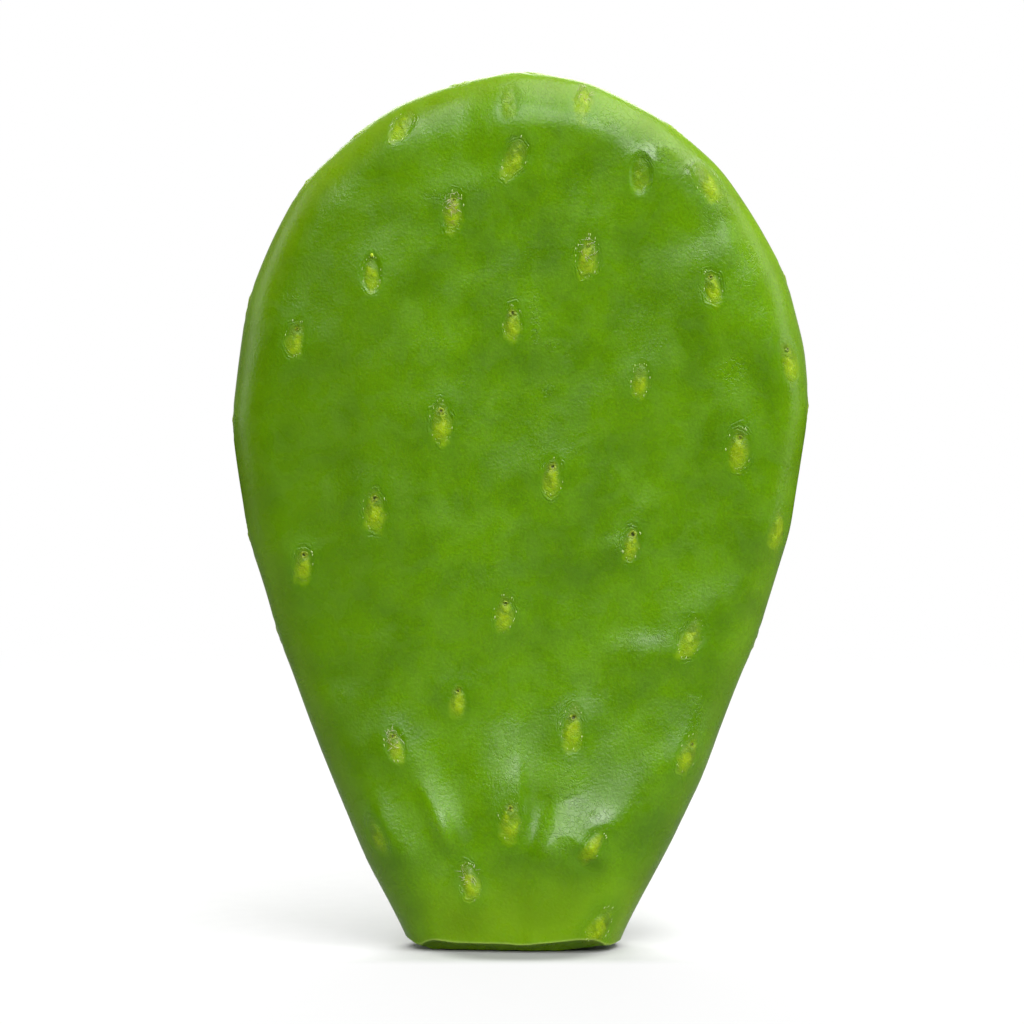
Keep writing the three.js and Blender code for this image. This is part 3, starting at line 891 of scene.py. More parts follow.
skin.normal_update()
moves = []
for vert in skin.verts:
    if all(face.material_index == FLESH for face in vert.link_faces):
        inwards = -vert.normal
        lump = FLESH_LUMP * noise.noise(vert.co / FLESH_LUMP_SIZE)
        stretched = Vector((vert.co.x / KNIFE_STEP_STRETCH, vert.co.y, vert.co.z)) / KNIFE_STEP_SIZE
        step = KNIFE_STEP * noise.noise(stretched)
        share = float(smoothstep(from_rind(vert.co), RIND_WIDTH, SUNK_FROM))
        moves.append((vert, inwards * share * (FLESH_SINKS + lump + step)))
for vert, move in moves:
    vert.co += move
print(len(moves), "points of flesh sunk behind a rind of", len(cut_border), "points")

# %% [markdown]
# ## What the skin knows about itself
#
# The colours follow the growth of the pad: paler along the rim, yellower in the scars, darker just round
# them. So the mesh carries what the materials ask for, as attributes: each point's place in the nearest
# scar, that scar's depth, cushion and dryness, the distance from the rim and from the cut, and how crazed
# the skin is. Skin crazes where it was stretched or scraped: the wax cracks into wet-looking flakes that
# glitter.

# %% From points to a mesh
# Crazed, wet-looking places of the front: x, z, half width, half height and strength.
CRAZED = [
    (17.5, 31.3, 2.6, 1.7, 1.0), (11.0, 36.0, 1.8, 4.0, 0.7), (-18.0, 30.0, 1.6, 1.8, 0.4),
    (-2.0, 42.0, 1.8, 4.0, 0.3), (40.0, 54.0, 1.4, 3.5, 0.4), (29.0, 71.5, 4.5, 1.0, 0.4),
    (30.5, 181.5, 3.5, 2.2, 0.9), (38.0, 178.0, 1.6, 1.3, 0.9), (22.3, 93.0, 1.8, 1.5, 0.6),
    (48.0, 132.0, 2.0, 2.5, 0.35), (6.5, 138.0, 0.8, 0.7, 0.9), (6.2, 127.5, 0.8, 0.7, 0.9),
    (-19.0, 171.0, 2.0, 1.4, 0.3), (52.0, 157.0, 2.0, 3.5, 0.4), (3.1, 143.0, 0.5, 3.5, 1.0),
    (8.0, 27.0, 3.5, 2.5, 0.5), (20.0, 189.0, 5.0, 2.5, 0.4), (45.0, 169.0, 3.0, 4.0, 0.5),
    (0.0, 194.0, 6.0, 2.0, 0.3),
]
NEAR_THE_CUT = 12.0  # above this height the distance from the cut no longer matters


def crazing(points, front):
    """How crazed the skin is at each point, from 0 to 1."""
    crazed = soft_ovals(points[:, 0], points[:, 2], CRAZED)
    return np.where(front, np.clip(crazed, 0.0, 1.0), 0.0)


def skin_mesh(bm):
    """The skin as a mesh, still in millimetres, with its attributes."""
    mesh = bpy.data.meshes.new("pad_skin")
    bm.to_mesh(mesh)
    points = np.empty(len(mesh.vertices) * 3)
    mesh.vertices.foreach_get("co", points)
    points = points.reshape(-1, 3)
    x, z = points[:, 0], points[:, 2]
    place, owner = scar_places(points)
    front = points[:, 1] < middle_y(x, z)
    from_cut = np.full(len(points), FAR)
    from_cut[z < NEAR_THE_CUT] = [from_rind(Vector(p)) for p in points[z < NEAR_THE_CUT].tolist()]
    for name, values in {
        "scar_along": place[:, 1], "scar_distance": place[:, 2], "cushion": cushion_places(place),
        "hollow_share": hollow_share[owner], "cushion_share": cushion_share[owner],
        "dryness": dryness[owner], "from_rim": rimward(x, z)[1], "from_cut": from_cut,
        "crazing": crazing(points, front),
    }.items():
        mesh.attributes.new(name, "FLOAT", "POINT").data.foreach_set("value", values)
    return mesh, points


finished_skin, skin_points = skin_mesh(skin)
skin.free()
# The skin is centred in the solid's box. Its own box is deeper, because above the cut it stands further
# forwards than the solid, so its faces come to lie about a millimetre behind the solid's.
low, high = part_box("pad")
middle = (skin_points.min(axis=0) + skin_points.max(axis=0)) / 2
shift = Vector(((low.x + high.x) / 2 - middle[0] * MM, (low.y + high.y) / 2 - middle[1] * MM, 0.0))
to_frame = Matrix.Translation(shift) @ Matrix.Scale(MM, 4)
finished_skin.transform(to_frame)
finished_skin.shade_smooth()
print(len(finished_skin.polygons), "triangles, moved", round(shift.length / MM, 2), "mm to be centred")

# %% A maker of pieces for the scene, and the skin's sharp edges
SHARP_ABOVE = math.radians(32)


def piece(name, mesh, *materials):
    """A finished piece that rides with the pad and stands for the solid."""
    made = bpy.data.objects.new(name, mesh)
    scene.collection.objects.link(made)
    mesh.materials.clear()
    for material in materials:
        mesh.materials.append(material)
    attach(made, "root")
    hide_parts("pad")
    return made


finished_skin.set_sharp_from_angle(angle=SHARP_ABOVE)
print("the skin spans", np.ptp(skin_points, axis=0).round(1).tolist(), "mm")

# %% [markdown]
# ## A kit for node trees
#
# Shaders and Geometry Nodes are both trees of nodes. One helper adds a node, sets it up and plugs in its
# inputs. It returns the output as a wire, and sums on wires add the nodes that do them, so a tree reads
# from top to bottom like a recipe.

# %% Adding nodes
class Wire:
    """The output of a node. A sum on it adds the Math node that does the sum."""

    def __init__(self, socket):
        self.socket = socket
        self.tree = socket.id_data

    def __add__(self, other):
        return maths("ADD", self, other)

    def __sub__(self, other):
        return maths("SUBTRACT", self, other)

    def __rsub__(self, other):
        return maths("SUBTRACT", other, self)

    def __mul__(self, other):
        return maths("MULTIPLY", self, other)

    def __rtruediv__(self, other):
        return maths("DIVIDE", other, self)

    def __truediv__(self, other):
        return maths("DIVIDE", self, other)

    def __pow__(self, other):
        return maths("POWER", self, other)


def plug(socket, value):
    """Gives an input a value, or the wire that brings it."""
    if isinstance(value, Wire):
        value.tree.links.new(value.socket, socket)
    else:
        socket.default_value = value


def add(tree, kind, inputs, output=0, **settings):
    """Adds a node, plugs in its inputs and returns one of its outputs, if it has any."""
    node = tree.nodes.new(kind)
    for name, value in settings.items():
        setattr(node, name, value)
    for name, value in inputs.items():
        plug(node.inputs[name], value)
    return Wire(node.outputs[output]) if node.outputs else node


def maths(operation, *values):
    """One sum, in the tree of the wires that go into it."""
    tree = next(value.tree for value in values if isinstance(value, Wire))
    return add(tree, "ShaderNodeMath", dict(enumerate(values)), operation=operation)


def ramp(value, low, high, out_low=0.0, out_high=1.0):
    """Softly maps a value from one range to another."""
    ranged = {"Value": value, "From Min": low, "From Max": high, "To Min": out_low, "To Max": out_high}
    return add(value.tree, "ShaderNodeMapRange", ranged, interpolation_type="SMOOTHSTEP")


def mixed(share, below, above):
    """Mixes two colours."""
    return add(share.tree, "ShaderNodeMix", {0: share, 6: below, 7: above}, output=2, data_type="RGBA")


def speckle(place, per_metre, detail=3.0, **more):
    """Noise with a number of patches in a metre. Detail says how often they are broken up finer."""
    inputs = {"Vector": place, "Scale": per_metre, "Detail": detail, **more}
    return add(place.tree, "ShaderNodeTexNoise", inputs)


def scaled(vector, amount):
    """A vector times a number."""
    return add(vector.tree, "ShaderNodeVectorMath", {0: vector, "Scale": amount}, operation="SCALE")


def axes(vector):
    """The x, y and z of a vector."""
    separate = add(vector.tree, "ShaderNodeSeparateXYZ", {0: vector}).socket.node
    return [Wire(output) for output in separate.outputs]


def given_to(tree):
    """The inputs of a node group, by name."""
    return {socket.name: Wire(socket) for socket in tree.nodes.new("NodeGroupInput").outputs if socket.name}


def paint(red, green, blue):
    """A colour as the eye mixes it, from 0 to 255, in the linear light that shaders count in."""
    def linear(c):
        return c / 255 / 12.92 if c <= 10 else ((c / 255 + 0.055) / 1.055) ** 2.4
    return (linear(red), linear(green), linear(blue), 1.0)


WHITE = (1.0, 1.0, 1.0, 1.0)
print("leaf green in linear light:", [round(c, 3) for c in paint(95, 142, 14)])

# %% [markdown]
# ## Mottling, a node group
#
# Living skin is never one green. Under a thin wax bloom the colour drifts from deep, saturated green to a
# milky green over patches of about a centimetre, with a fine grain on top. The skin, the flesh and the
# small things in the scars all do this in their own colours, so it is a node group, made once and given
# other values in each.

# %% The mottling group
def mottling_group():
    """Drifts between two greens, lays a milky veil over them and grains the lot."""
    tree = bpy.data.node_groups.new("mottling", "ShaderNodeTree")
    for name, kind, value in (
        ("Deep", "NodeSocketColor", paint(86, 132, 2)), ("Body", "NodeSocketColor", paint(97, 145, 8)),
        ("Milk", "NodeSocketFloat", 0.018), ("Patch Size", "NodeSocketFloat", 0.012),
        ("Grain Size", "NodeSocketFloat", 0.0009), ("Grain Strength", "NodeSocketFloat", 0.2),
    ):
        tree.interface.new_socket(name=name, in_out="INPUT", socket_type=kind).default_value = value
    for name, kind in (
        ("Colour", "NodeSocketColor"), ("Bloom", "NodeSocketFloat"), ("Grain", "NodeSocketFloat"),
    ):
        tree.interface.new_socket(name=name, in_out="OUTPUT", socket_type=kind)
    given = given_to(tree)
    place = add(tree, "ShaderNodeTexCoord", {}, output="Object")
    patches_per_metre = 1.0 / given["Patch Size"]
    patches = speckle(place, patches_per_metre, 4.0, Roughness=0.5, Distortion=0.2)
    elsewhere = add(tree, "ShaderNodeMapping", {"Vector": place, "Location": (0.31, 0.17, 0.23)})
    veil = speckle(elsewhere, patches_per_metre * 2.2, 4.0, Roughness=0.55, Distortion=0.8)
    grain = speckle(place, 1.0 / given["Grain Size"], 2.0, Roughness=0.6)
    bloom = ramp(veil, 0.36, 0.68)
    colour = mixed(ramp(patches, 0.3, 0.66), given["Deep"], given["Body"])
    grained = scaled(colour, (grain - 0.5) * given["Grain Strength"] + 1.0)
    veiled = add(tree, "ShaderNodeVectorMath", {0: grained, 1: bloom * given["Milk"]}, operation="ADD")
    add(tree, "NodeGroupOutput", {"Colour": veiled, "Bloom": bloom, "Grain": grain})
    return tree


mottling = mottling_group()
print("mottling takes", [item.name for item in mottling.interface.items_tree if item.in_out == "INPUT"])

# %% A material to start from
def new_material(name, constants):
    """A Principled material whose constant values sit on the shader's own sockets."""
    material = bpy.data.materials.new(name)
    material.use_nodes = True
    tree = material.node_tree
    tree.nodes.clear()
    surface = add(tree, "ShaderNodeBsdfPrincipled", constants)
    add(tree, "ShaderNodeOutputMaterial", {"Surface": surface})
    return material, tree, surface.socket.node.inputs


def mottled(tree, **values):
    """Places the mottling group with values of its own."""
    group = tree.nodes.new("ShaderNodeGroup")
    group.node_tree = mottling
    for name, value in values.items():
        plug(group.inputs[name.replace("_", " ").title()], value)
    return {socket.name: Wire(socket) for socket in group.outputs}


def raise_bumps(shader, height):
    """Gives a material a relief that is drawn by light alone, from a height in millimetres."""
    bump = add(height.tree, "ShaderNodeBump", {"Height": height, "Distance": MM, "Strength": 1.0})
    plug(shader["Normal"], bump)


print("materials start from the Principled shader")

# %% [markdown]
# ## The skin's finish
#
# The skin is waxy and a little translucent: light goes in, turns green and comes out nearby, which
# softens every shadow. Over that lies a half-glossy wax that is rougher where the bloom is thick. Round
# each scar the green is deeper and the cushion inside is yellower, with tan patches where it dried and
# painted shade in its wrinkle furrows. The left side of the skin is darkened by painted shade. Along the
# rim runs a pale band, partly a paler green and partly painted sheen, stronger towards the top, with an
# olive line at the very edge, and by the cut the green is lighter on the left.
#
# Fine wrinkles ring the deeper scars in broken arcs, and a clear coat lies on them and on the crazed
# places.

# %% What the skin is marked by
PATCHES_PER_METRE = {
    "waver": 420.0, "crinkles": 900.0, "gaps": 230.0, "grain": 1500.0, "dimples": 300.0, "cracks": 700.0,
}


def attribute(tree, name):
    """Reads one of the skin's own attributes."""
    return add(tree, "ShaderNodeAttribute", {}, output="Fac", attribute_name=name)


def skin_noise(place, name, **more):
    """One of the skin's kinds of noise."""
    return speckle(place, PATCHES_PER_METRE[name], **more)


def skin_marks(tree):
    """The masks that the skin's colour, gloss and relief have in common."""
    place = add(tree, "ShaderNodeTexCoord", {}, output="Object")
    marks = {name: attribute(tree, name) for name in (
        "scar_along", "scar_distance", "cushion", "cushion_share", "hollow_share", "dryness", "from_rim",
        "from_cut", "crazing")}
    waver = skin_noise(place, "waver")
    crinkle_noise = skin_noise(place, "crinkles", Distortion=0.6)
    ring_zone = ramp(marks["scar_distance"], 0.6, 0.85) * ramp(marks["scar_distance"], 1.4, 1.05)
    arcs = ring_zone * ramp(skin_noise(place, "gaps", detail=2.0), 0.47, 0.62)
    return {
        **marks, "place": place, "waver": waver, "crinkle_noise": crinkle_noise,
        "foot": marks["cushion"] + (waver - 0.5) * 1.5,
        "crinkles": ramp(maths("ABSOLUTE", crinkle_noise - 0.5), 0.0, 0.07),
        "arcs": arcs * ramp(marks["hollow_share"], 0.4, 0.8),
    }


print("masks come from the skin's attributes and from noise")

# %% The skin
SKIN_GREENS = {
    "deep": paint(84, 130, 0), "body": paint(100, 150, 0), "painted shade on the left": paint(80, 120, 0),
    "by the cut": paint(126, 170, 0), "halo": paint(88, 138, 0), "cushion foot": paint(140, 178, 0),
    "cushion top": paint(98, 136, 0), "crown": paint(172, 200, 0), "painted crease shade": paint(90, 124, 0),
    "tan": paint(146, 158, 66), "rim band and painted sheen": paint(146, 172, 20), "olive line": paint(140, 166, 10),
    "rind": paint(160, 190, 84),
}
RELIEF_HEIGHTS = {"arcs": 0.05, "grain": 0.075, "dimples": 0.055, "cracks": 0.15, "cushion folds": 0.05}


def laid_over(colour, green, where, strength=1.0):
    """Lays one of the greens over a colour, where a mask says so."""
    return mixed(where * strength, colour, SKIN_GREENS[green])


def cushion_colour(marks):
    """Greens of the cushion in a scar, darker towards its top, with painted shade in its wrinkle furrows."""
    upward = ramp(marks["scar_along"], -0.7, 0.4)
    colour = mixed(upward, SKIN_GREENS["cushion foot"], SKIN_GREENS["cushion top"])
    crown = ramp(marks["waver"] + marks["cushion"] * -0.15, 0.36, 0.5)
    colour = laid_over(colour, "crown", crown, 0.5)
    # Painted shade darkens the furrows of the cushion's wrinkles a little.
    return laid_over(colour, "painted crease shade", 1.0 - marks["crinkles"], 0.1)


def skin_colour(ground, marks):
    """The greens of the skin, one layer over the other."""
    x, y, z = axes(marks["place"])
    # Painted shade: the skin is darkened towards its left side.
    colour = laid_over(ground, "painted shade on the left", ramp(x, -0.012, -0.045), 0.5)
    left_of_the_cut = ramp(z, 0.024, 0.006) * ramp(x, -0.030, -0.014)
    colour = laid_over(colour, "by the cut", left_of_the_cut, 0.75)
    halo = ramp(marks["scar_distance"] + (marks["waver"] - 0.5) * 0.7, 2.0, 0.9)
    colour = laid_over(colour, "halo", halo, 0.5)
    cushion_there = ramp(marks["foot"], 1.4, 0.5) * ramp(marks["cushion_share"], 0.0, 0.6)
    colour = mixed(cushion_there, colour, cushion_colour(marks))
    tanned = ramp(marks["crinkle_noise"], 0.46, 0.6) * ramp(marks["foot"], 1.0, 0.6)
    colour = laid_over(colour, "tan", tanned * ramp(marks["dryness"], 0.15, 1.0))
    # A pale band along the rim: partly a paler green, partly painted sheen, and stronger towards the top.
    pale_band_and_painted_sheen = ramp(marks["from_rim"], 9.0, 1.0) * ramp(z, 0.11, 0.18, 0.4, 1.0)
    colour = laid_over(colour, "rim band and painted sheen", pale_band_and_painted_sheen, 0.3)
    colour = laid_over(colour, "olive line", ramp(marks["from_rim"], 0.5, 0.0), 0.35)
    return laid_over(colour, "rind", ramp(marks["from_cut"], 0.5, 0.15), 0.7)


def skin_height(marks):
    """Wrinkles round the scars, grain, dimples, cracks of the crazed wax and folds in the cushions."""
    rings = maths("SINE", marks["scar_distance"] * 27.0 + marks["waver"] * 20.0)
    grain, dimples, meander = (skin_noise(marks["place"], name) for name in ("grain", "dimples", "cracks"))
    reliefs = {
        "arcs": rings * marks["arcs"], "grain": grain, "dimples": dimples,
        "cracks": ramp(maths("ABSOLUTE", meander - 0.5), 0.0, 0.05) * marks["crazing"],
        "cushion folds": ramp(marks["cushion"], 1.3, 0.7) * marks["crinkles"],
    }
    height = 0.0
    for name, relief in reliefs.items():
        height = relief * RELIEF_HEIGHTS[name] + height
    return height


def pad_skin_material():
    """Waxy green skin."""
    material, tree, shader = new_material("pad_skin", {
        "IOR": 1.37, "Subsurface Weight": 0.2, "Subsurface Radius": (0.5, 1.0, 0.1),
        "Subsurface Scale": 0.0018, "Coat Roughness": 0.1, "Coat IOR": 1.4,
    })
    tone = mottled(tree, deep=SKIN_GREENS["deep"], body=SKIN_GREENS["body"], milk=0.003,
                   patch_size=0.012, grain_size=0.0005, grain_strength=0.7)
    marks = skin_marks(tree)
    plug(shader["Base Color"], skin_colour(tone["Colour"], marks))
    plug(shader["Roughness"], tone["Bloom"] * 0.12 + 0.24 + ramp(marks["foot"], 1.2, 0.6) * 0.1)
    plug(shader["Coat Weight"], marks["arcs"] * 0.6 + marks["crazing"])
    raise_bumps(shader, skin_height(marks))
    return material


pad_skin = pad_skin_material()
print(pad_skin.name, "has", len(pad_skin.node_tree.nodes), "nodes")

# %% [markdown]
# ## The flesh of the cut
#
# The cut shows three things: the thin pale rind of the skin, a green layer behind it, and the core, wet
# and nearly colourless, where the pad stores its water.

# %% The flesh
def grained_material(name, constants, tones, smoothest, grain_share):
    """A mottled material that is rougher where its grain is light."""
    material, tree, shader = new_material(name, constants)
    tone = mottled(tree, **tones)
    plug(shader["Base Color"], tone["Colour"])
    plug(shader["Roughness"], tone["Grain"] * grain_share + smoothest)
    return material, tree, shader, tone["Colour"]


def flesh_material():
    """Wet cut flesh."""
    green_layer = paint(166, 186, 0)
    constants = {"IOR": 1.38, "Subsurface Weight": 0.35, "Subsurface Radius": (0.7, 1.0, 0.25),
                 "Subsurface Scale": 0.003, "Coat Roughness": 0.1}
    tones = {"deep": green_layer, "body": paint(184, 204, 30), "milk": 0.03, "patch_size": 0.004,
             "grain_size": 0.0006, "grain_strength": 0.35}
    material, tree, shader, core = grained_material("cut_flesh", constants, tones, 0.22, 0.25)
    from_cut = attribute(tree, "from_cut")
    colour = mixed(ramp(from_cut, 5.0, 0.9), core, green_layer)
    plug(shader["Base Color"], mixed(ramp(from_cut, 0.6, 0.2), colour, paint(184, 208, 110)))
    fibres = speckle(add(tree, "ShaderNodeTexCoord", {}, output="Object"), 900.0, 4.0)
    raise_bumps(shader, fibres * 0.12)
    return material


cut_flesh = flesh_material()
pad = piece("pad_skin", finished_skin, pad_skin, cut_flesh)
print(pad.name, "stands for the solid pad")

# %% [markdown]
# ## Sockets, beads and wool
#
# Three small things repeat from scar to scar. Many scars keep the socket that the spines came out of, a
# pale ring round a dark pit. Tiny wet beads sit along the edge of the deeper hollows. Where a scar has
# dried, a few stubs of the fine barbed bristles and the white wool are left that the knife missed. Each
# kind follows the skin, so Geometry Nodes plant them: one small shape is set on every place, turned by
# that place's own directions.

# %% Places for the nodes
BEADED_HOLLOW, BEADED_CUSHION = 0.6, 0.5  # the least depth and height of a scar with beads
WOOLLY_DRYNESS = 0.3


def places_object(name, numbers, points, sizes):
    """A mesh of loose points, one on each chosen scar, that carry its directions and size."""
    mesh = bpy.data.meshes.new(name)
    mesh.from_pydata([to_frame @ Vector(p) for p in points], [], [])
    for direction in ("out", "along"):
        values = np.array([scars[number][direction] for number in numbers])
        mesh.attributes.new(direction, "FLOAT_VECTOR", "POINT").data.foreach_set("vector", values.ravel())
    mesh.attributes.new("size", "FLOAT", "POINT").data.foreach_set("value", sizes)
    made = bpy.data.objects.new(name, mesh)
    scene.collection.objects.link(made)
    return made


def scar_middles(name, numbers):
    """Places in the middle of scars, as large as these."""
    return places_object(name, numbers, [scars[number]["point"] for number in numbers],
                         [scars[number]["size"] for number in numbers])


def scar_point(number, across, along):
    """A point of a scar on the finished skin, without its socket."""
    scar = scars[number]
    place = np.array([[across, along, math.hypot(across, along)]])
    height = scar_heights(place, np.array([number]), with_socket=False)[0]
    aside = across * SCAR_HALF_ACROSS * scar["size"] * scar["across"]
    upward = along * SCAR_HALF_ALONG * scar["size"] * scar["along"]
    return scar["point"] + aside + upward + height * scar["out"]


with_socket = [n for n in range(len(scars)) if socket_share[n] > 0]
socket_places = places_object("socket_places", with_socket,
                              [scar_point(n, 0.0, SOCKET_AT) for n in with_socket],
                              [socket_share[n] for n in with_socket])
on_a_face = [n for n, scar in enumerate(scars) if scar["side"] != 0]
beaded = [n for n in on_a_face if hollow_share[n] >= BEADED_HOLLOW and cushion_share[n] >= BEADED_CUSHION]
woolly = [n for n in on_a_face if dryness[n] >= WOOLLY_DRYNESS]
bead_places, wool_places = scar_middles("bead_places", beaded), scar_middles("wool_places", woolly)
print(len(with_socket), "sockets;", len(beaded), "scars with beads;", len(woolly), "scars with wool")

# %% Starting and ending a geometry tree
def new_geometry_tree(name, sizes):
    """A geometry tree with a named input for each size."""
    tree = bpy.data.node_groups.new(name, "GeometryNodeTree")
    tree.interface.new_socket(name="Geometry", in_out="INPUT", socket_type="NodeSocketGeometry")
    tree.interface.new_socket(name="Geometry", in_out="OUTPUT", socket_type="NodeSocketGeometry")
    for size, value in sizes.items():
        kind = "NodeSocketInt" if isinstance(value, int) else "NodeSocketFloat"
        tree.interface.new_socket(name=size, in_out="INPUT", socket_type=kind)
    return tree, given_to(tree)


def finish_tree(geometry, material):
    """Ends a tree: real meshes, smooth, in their material."""
    tree = geometry.tree
    real = add(tree, "GeometryNodeRealizeInstances", {0: geometry})
    smooth = add(tree, "GeometryNodeSetShadeSmooth", {0: real})
    coated = add(tree, "GeometryNodeSetMaterial", {0: smooth, "Material": material})
    add(tree, "NodeGroupOutput", {0: coated})
    return tree


def grown(base, tree, sizes):
    """Runs a geometry tree on an object with the given sizes and returns the result as a plain mesh."""
    modifier = base.modifiers.new(tree.name, "NODES")
    modifier.node_group = tree
    for size, value in sizes.items():
        modifier[tree.interface.items_tree[size].identifier] = value
    evaluated = base.evaluated_get(bpy.context.evaluated_depsgraph_get())
    mesh = bpy.data.meshes.new_from_object(evaluated)
    base.modifiers.remove(modifier)
    return mesh


print("a tree ends in real, smooth meshes in their own material")

# %% Turning, moving and planting
def carried(tree, name, kind="FLOAT_VECTOR"):
    """Reads an attribute that the places carry."""
    return add(tree, "GeometryNodeInputNamedAttribute", {"Name": name}, data_type=kind)


def scar_turn(tree):
    """The rotation that stands a thing on its scar: Z out of the skin and Y up along the scar."""
    return add(tree, "FunctionNodeAxesToRotation", {0: carried(tree, "out"), 1: carried(tree, "along")},
               primary_axis="Z", secondary_axis="Y")


def drawn(tree, low, high, seed):
    """A draw between two numbers for every point."""
    return add(tree, "FunctionNodeRandomValue", {2: low, 3: high, "Seed": seed}, output=1, data_type="FLOAT")


def moved(geometry, **where):
    """Sets points to a Position, or moves them by an Offset."""
    return add(geometry.tree, "GeometryNodeSetPosition", {0: geometry, **where})


def vector_of(tree, *values):
    """Joins x, y and z."""
    return add(tree, "ShaderNodeCombineXYZ", dict(enumerate(values)))


def planted(points, thing, turn, scale):
    """Sets a thing on every point."""
    return add(points.tree, "GeometryNodeInstanceOnPoints", {
        "Points": points, "Instance": thing, "Rotation": turn, "Scale": scale})


print("things are planted with Z out of the skin")

# %% The socket tree
SOCKET_SIZES = {  # metres, except Pit Span, which is a share of the radius, and the two counts
    "Radius": 0.00105, "Ring Height": 0.00018, "Pit Depth": 0.00045, "Pit Span": 0.36, "Sunk": 0.00008,
    "Lump Size": 0.0007, "Lump Height": 0.0003, "Wander": 0.0009, "Sides": 22, "Rings": 11,
}


def socket_tree(material):
    """A low ring round a pit, on every socket place."""
    tree, size = new_geometry_tree("areole sockets", SOCKET_SIZES)
    fan = add(tree, "GeometryNodeMeshCone", {
        "Vertices": size["Sides"], "Side Segments": size["Rings"], "Radius Top": 0.0, "Radius Bottom": 1.0,
        "Depth": 0.1}, fill_type="NONE")
    x, y, z = axes(add(tree, "GeometryNodeInputPosition", {}))
    out_in = maths("SQRT", x**2.0 + y**2.0)
    pit = maths("EXPONENT", (out_in / size["Pit Span"]) ** 2.0 * -0.5)
    height = (1.0 - out_in**3.0) * size["Ring Height"] - pit * size["Pit Depth"] - size["Sunk"]
    pressed = vector_of(tree, x * size["Radius"], y * size["Radius"], height)
    marked = add(tree, "GeometryNodeStoreNamedAttribute", {0: fan, "Name": "pit", "Value": pit},
                 data_type="FLOAT")
    rings = planted(size["Geometry"], moved(marked, Position=pressed), scar_turn(tree),
                    carried(tree, "size", "FLOAT"))
    real = add(tree, "GeometryNodeRealizeInstances", {0: rings})
    dents = add(tree, "ShaderNodeTexNoise", {"Scale": 1.0 / size["Lump Size"], "Detail": 2.0})
    lumps = scaled(carried(tree, "out"), (dents - 0.5) * size["Lump Height"])
    drift = add(tree, "ShaderNodeTexNoise", {"Scale": 1.0 / size["Lump Size"]}, output=1)
    either_way = add(tree, "ShaderNodeVectorMath", {0: drift, 1: (0.5, 0.5, 0.5)}, operation="SUBTRACT")
    wandered = moved(moved(real, Offset=lumps), Offset=scaled(either_way, size["Wander"]))
    return finish_tree(wandered, material)


print("a socket is a cone pressed into a ring and a pit")

# %% Beads and wool
BEAD_SIZES = {  # metres, except Count and Kept, the share of the count that stays
    "Half Across": 0.00245, "Half Along": 0.0043, "Above Middle": 0.0, "Count": 44, "Kept": 0.26,
    "Shake": 0.00022, "Radius": 0.00012,
}
BEAD_SHAPE = (0.8, 2.6, 0.5)
WOOL_SIZES = {  # as for the beads, and Lean in radians
    "Half Across": 0.0013, "Half Along": 0.0020, "Above Middle": 0.0016, "Count": 34, "Kept": 0.7,
    "Shake": 0.0005, "Length": 0.0013, "Thickness": 0.00006, "Bend": 0.0007, "Lean": 1.3,
}


def seated_ring(tree, size):
    """Points in an oval round each place, shaken, thinned out and seated on the skin."""
    circle = add(tree, "GeometryNodeMeshCircle", {"Vertices": size["Count"], "Radius": 1.0})
    x, y, z = axes(add(tree, "GeometryNodeInputPosition", {}))
    oval = vector_of(tree, x * size["Half Across"], y * size["Half Along"] + size["Above Middle"])
    rings = planted(size["Geometry"], moved(circle, Position=oval), scar_turn(tree),
                    carried(tree, "size", "FLOAT"))
    real = add(tree, "GeometryNodeRealizeInstances", {0: rings})
    points = add(tree, "GeometryNodeMeshToPoints", {0: real})
    dropped = add(tree, "FunctionNodeCompare", {0: drawn(tree, 0.0, 1.0, 3), 1: size["Kept"]},
                  operation="GREATER_THAN")
    thinned = add(tree, "GeometryNodeDeleteGeometry", {0: points, 1: dropped})
    shake = add(tree, "FunctionNodeRandomValue", {"Min": (-1.0,) * 3, "Max": (1.0,) * 3, "Seed": 5},
                data_type="FLOAT_VECTOR")
    shaken = moved(thinned, Offset=scaled(shake, size["Shake"]))
    skin_geometry = add(tree, "GeometryNodeObjectInfo", {"Object": pad}, output="Geometry")
    nearest_point = add(tree, "GeometryNodeProximity", {0: skin_geometry}, target_element="FACES")
    return moved(shaken, Position=nearest_point)


def bead_tree(material):
    """Tiny flat beads along the edge of a hollow."""
    tree, size = new_geometry_tree("wet beads", BEAD_SIZES)
    bead = add(tree, "GeometryNodeMeshIcoSphere", {"Radius": size["Radius"], "Subdivisions": 1})
    flattened = add(tree, "GeometryNodeTransform", {0: bead, "Scale": BEAD_SHAPE})
    beads = planted(seated_ring(tree, size), flattened, scar_turn(tree), drawn(tree, 0.4, 1.4, 8))
    return finish_tree(beads, material)


def wool_tree(material):
    """Short bent stubs round the top of a scar."""
    tree, size = new_geometry_tree("wool and stubs", WOOL_SIZES)
    stub = add(tree, "GeometryNodeMeshCone", {
        "Vertices": 3, "Side Segments": 4, "Radius Top": 0.00001, "Radius Bottom": size["Thickness"],
        "Depth": size["Length"]})
    x, y, z = axes(add(tree, "GeometryNodeInputPosition", {}))
    bent = moved(stub, Offset=vector_of(tree, (z / size["Length"]) ** 2.0 * size["Bend"]))
    heading = drawn(tree, -math.pi, math.pi, 11)
    own = add(tree, "FunctionNodeEulerToRotation", {
        0: vector_of(tree, 0.0, drawn(tree, 0.4, 1.0, 12) * size["Lean"], heading)})
    turn = add(tree, "FunctionNodeRotateRotation", {0: scar_turn(tree), 1: own}, rotation_space="LOCAL")
    return finish_tree(planted(seated_ring(tree, size), bent, turn, drawn(tree, 0.5, 1.2, 13)), material)


print("beads and stubs stand in ovals that are seated on the skin")

